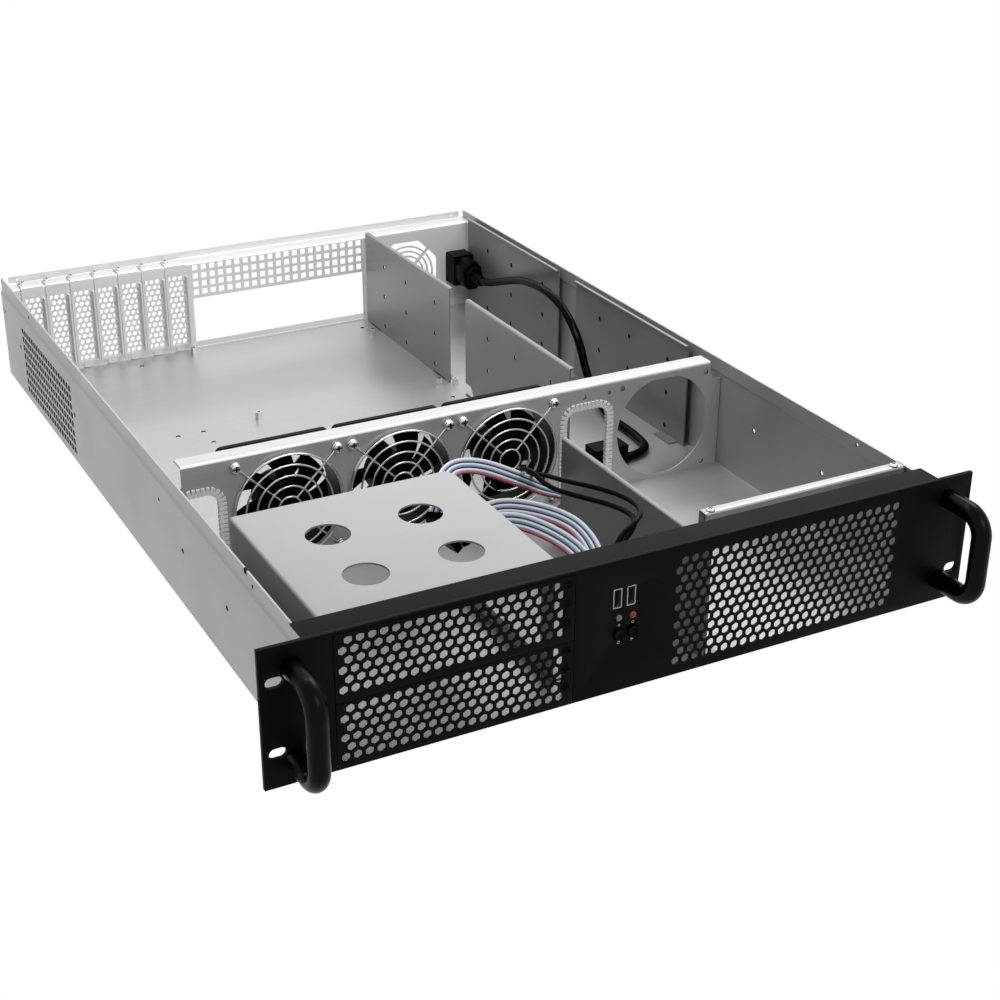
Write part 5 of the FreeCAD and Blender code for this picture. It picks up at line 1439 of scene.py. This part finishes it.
rear = punched(rear, [prism("rear_punch", rear_rings, "XZ", REAR - 3, REAR + 2), grid] + lip_ends +
               [prism("lip_holes", [ngon(x, 82.6, 1.2, 12) for x in (-200.0, 200.0)], "XZ", BODY_REAR - 3,
                      BODY_REAR + 2)])
sides = [box_of("rear_side", x, x + SHEET, REAR - 18, REAR - SHEET + 0.05, 2.2, JOGGLE, REAR_STEEL)
         for x in (-rear_half, rear_half - SHEET)]
rear = joined("rear_panel_dressed", [rear] + sides)
settle_in(shaded(rear), "case", "galvanised", "rear_panel")
print("rear faces", len(rear.data.polygons))

# %% [markdown]
# ## Slot covers
# Seven loose covers stand before the card slots, each held on the shelf by a bent head and a
# screw, with a tongue at its foot.  Each is a bent strip punched with thirteen rows of round
# holes.  Every cover comes out alone on the real case, so each is made as a piece of its own.

# %% Slot covers
face_y = REAR - 2 * SHEET
for number, x in enumerate(slot_x, 1):
    strip = folded("slot_strip", [(face_y + SHEET / 2, 6.1), (face_y + SHEET / 2, SHELF + SHEET / 2),
                                  (face_y + 13.2, SHELF + SHEET / 2)],
                   SHEET - 0.02, 0.2, "YZ", x - 9.2, x + 9.2, REAR_STEEL)
    field = punch_field("slot_holes", ngon(0, 0, 2.0, 14), "XZ", 8.0, 3, 13,
                        (x - 4.9 - 1.2, face_y + 0.6, 11.5), (4.9, 0, 0), (0, 0, 4.75), 0.5)
    strip = punched(strip, [field])
    flank = box_of("slot_flank", x + 8.0, x + 9.2, face_y - 5.0, face_y + 0.05, 10.0, 70.0, REAR_STEEL)
    tab = prism("slot_foot", [oblong(x - 4.0, x + 4.0, 2.55, 7.0, 1.9, 3)], "XZ",
                face_y + 0.02, face_y + SHEET - 0.02, REAR_STEEL)
    crease = box_of("slot_crease", x - 7.4, x + 7.4, face_y - 0.45, face_y + 0.05, 7.6, 8.8, REAR_STEEL)
    settle_in(shaded(joined("slot_cover_%d_dressed" % number, [strip, flank, tab, crease])), "case",
              "galvanised", "slot_cover_%d" % number)
print("slot covers", len(slot_x), "pitch", SLOT_PITCH, "mm")

# %% [markdown]
# ## Inlet, plug and standoffs
# The inlet is screwed to the rear panel and a plug joins it to the lead inside.  The plug is a
# softened eight sided block with a ribbed sleeve, because the ribs show that the lead may bend.
# Five hexagonal posts on the floor wait for the main board.

# %% Inlet and plug
MOUTH_BACK = REAR - 13
PLUG_CORNERS = ((-4, -13), (4, -13), (9, -7), (9, 7), (4, 13), (-4, 13), (-9, 7), (-9, -7))
RIB_STEP = 3.4
mouth = around(*INLET, 8, 12, 2.5, 4)
core = around(*INLET, 10, 14, 1.5, 3)
inlet_parts = [
    soften(slab("inlet_flange", around(*INLET, 11.3, 25, 4.0, 5), [mouth], "XZ", REAR, REAR + 2.5,
                BLACK_PLASTIC), 0.5),
    slab("inlet_core", core, [mouth], "XZ", MOUTH_BACK, REAR, BLACK_PLASTIC),
    prism("inlet_back", [core], "XZ", REAR - 17, MOUTH_BACK, BLACK_PLASTIC),
]
inlet_parts += [prism("inlet_pin", [around(INLET[0] + dx, INLET[1] + dz, 1, 2, 0.4, 2)], "XZ",
                      MOUTH_BACK - 0.5, REAR - 2, BRASS) for dx, dz in ((0, 0), (3.5, 7), (3.5, -7))]
settle_in(joined("inlet_dressed", inlet_parts), "case", "black_plastic", "power_inlet")
plug_low, plug_high = corners("inlet_plug")
plug_ring = [(INLET[0] + u, INLET[1] + v) for u, v in PLUG_CORNERS]
neck_ring = [(INLET[0] + u * 0.75, INLET[1] + v * 0.7) for u, v in PLUG_CORNERS]
body = prism("plug_body", [plug_ring], "XZ", plug_low.y + 5.0, plug_high.y, BLACK_PLASTIC)
neck = prism("plug_neck", [neck_ring], "XZ", plug_low.y, plug_low.y + 6.0, BLACK_PLASTIC)
plug_parts = [soften(body, 1.2, 3, 20), soften(neck, 1.0, 3, 20)]
for k in range(4):
    near = plug_low.y - RIB_STEP * k
    profile = [(3.5, near - 2.6), (5.2 - 0.3 * k, near - 2.3), (5.4 - 0.3 * k, near), (3.5, near + 0.3)]
    plug_parts.append(turned_piece("plug_rib", profile, INLET, BLACK_PLASTIC, 24))
settle_in(shaded(joined("plug_dressed", plug_parts)), "case", "black_plastic", "inlet_plug")
print("plug from", round(plug_low.y, 1), "to", round(plug_high.y, 1), "mm")

# %% Standoffs
posts = [(-62.8, 631.4), (93.8, 603.2), (-63.6, 473.3), (95.1, 472.3), (106.9, 466.1)]
stands = [slab("standoff", ngon(x, y, 2.9, 6), [ngon(x, y, 1.3, 14)], "XY", 2.2, 8.6, CHROME)
          for x, y in posts]
settle_in(joined("standoff_posts", stands), "case", "galvanised", "standoffs")
print("posts", len(posts))

# %% [markdown]
# ## Pieces kept from the frame
# The small board, the switches and the plain plugs lie in shade behind other pieces.  They keep
# their shape from the source and get a real finish, with their edges eased.

# %% Finishes of kept pieces
kept = {"control_board": BOARD, "button_switches": BLACK_PLASTIC, "lead_socket": BLACK_PLASTIC,
        "ribbon_plug_1": BLACK_PLASTIC, "ribbon_plug_2": BLACK_PLASTIC, "ribbon_plug_3": BLACK_PLASTIC,
        "black_plug": BLACK_PLASTIC}
EASED_EDGE = 0.0006
for node, material in kept.items():
    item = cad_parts[node]
    for place_in_list in item.material_slots:
        place_in_list.material = material
    if node != "control_board":
        eased = item.modifiers.new("eased edges", "BEVEL")
        eased.width = EASED_EDGE
        eased.segments = 2
print("kept", sorted(kept))

# %% Cord lengths
for node, (item, route, radius) in leads.items():
    length_of(points_along(route))
print("cords declared", len(leads) + len(ribbons))

# %% [markdown]
# ## Light
# A white studio: the picture has no visible floor, so the background is plain white, while
# large soft lights shape the metal.  A bright world would flatten the case, so only what a
# camera, a mirror or a lens sees is white, and the light itself comes from the lamps.

# %% Light
WORLD_FILL = 0.10
world = bpy.data.worlds.new("studio")
world.use_nodes = True
sky = world.node_tree
sky.nodes.clear()
rays = add(sky, "ShaderNodeLightPath")
seen = add(sky, "ShaderNodeMath", {0: rays.outputs["Is Camera Ray"], 1: rays.outputs["Is Transmission Ray"]},
           operation="MAXIMUM")
seen = add(sky, "ShaderNodeMath", {0: seen, 1: rays.outputs["Is Glossy Ray"]}, operation="MAXIMUM")
shown = add(sky, "ShaderNodeBackground", {"Color": (1.0, 1.0, 1.0, 1.0), "Strength": 1.0})
fill = add(sky, "ShaderNodeBackground", {"Color": (1.0, 1.0, 1.0, 1.0), "Strength": WORLD_FILL})
both = add(sky, "ShaderNodeMixShader", {"Fac": seen, 1: fill, 2: shown})
add(sky, "ShaderNodeOutputWorld", {"Surface": both})
scene.world = world


def softbox(name, spot, aim, wide, tall, watts):
    """A large soft light that faces a point."""
    lamp = bpy.data.lights.new(name, "AREA")
    lamp.shape = "RECTANGLE"
    lamp.size = wide
    lamp.size_y = tall
    lamp.energy = watts
    item = bpy.data.objects.new(name, lamp)
    item.location = spot
    item.rotation_euler = (Vector(aim) - Vector(spot)).to_track_quat("-Z", "Y").to_euler()
    collection.objects.link(item)
    return item


softbox("top_light", (1.1, 0.8, 1.4), (0.0, 0.35, 0.0), 0.9, 0.6, 13.5)
softbox("rear_light", (0.85, 2.0, 1.1), (0.0, 0.5, 0.0), 2.4, 0.5, 5.0)
softbox("front_light", (0.4, -1.4, 1.3), (0.0, 0.3, 0.0), 1.0, 0.7, 12.0)
softbox("inner_light", (-0.05, 0.28, 0.50), (-0.05, 0.68, 0.05), 0.5, 0.2, 3.4)
softbox("side_light", (-1.5, 0.2, 0.06), (0.0, 0.35, 0.0), 1.6, 0.1, 1.6)
scene.view_settings.view_transform = "Standard"
print("pieces", len(pieces))
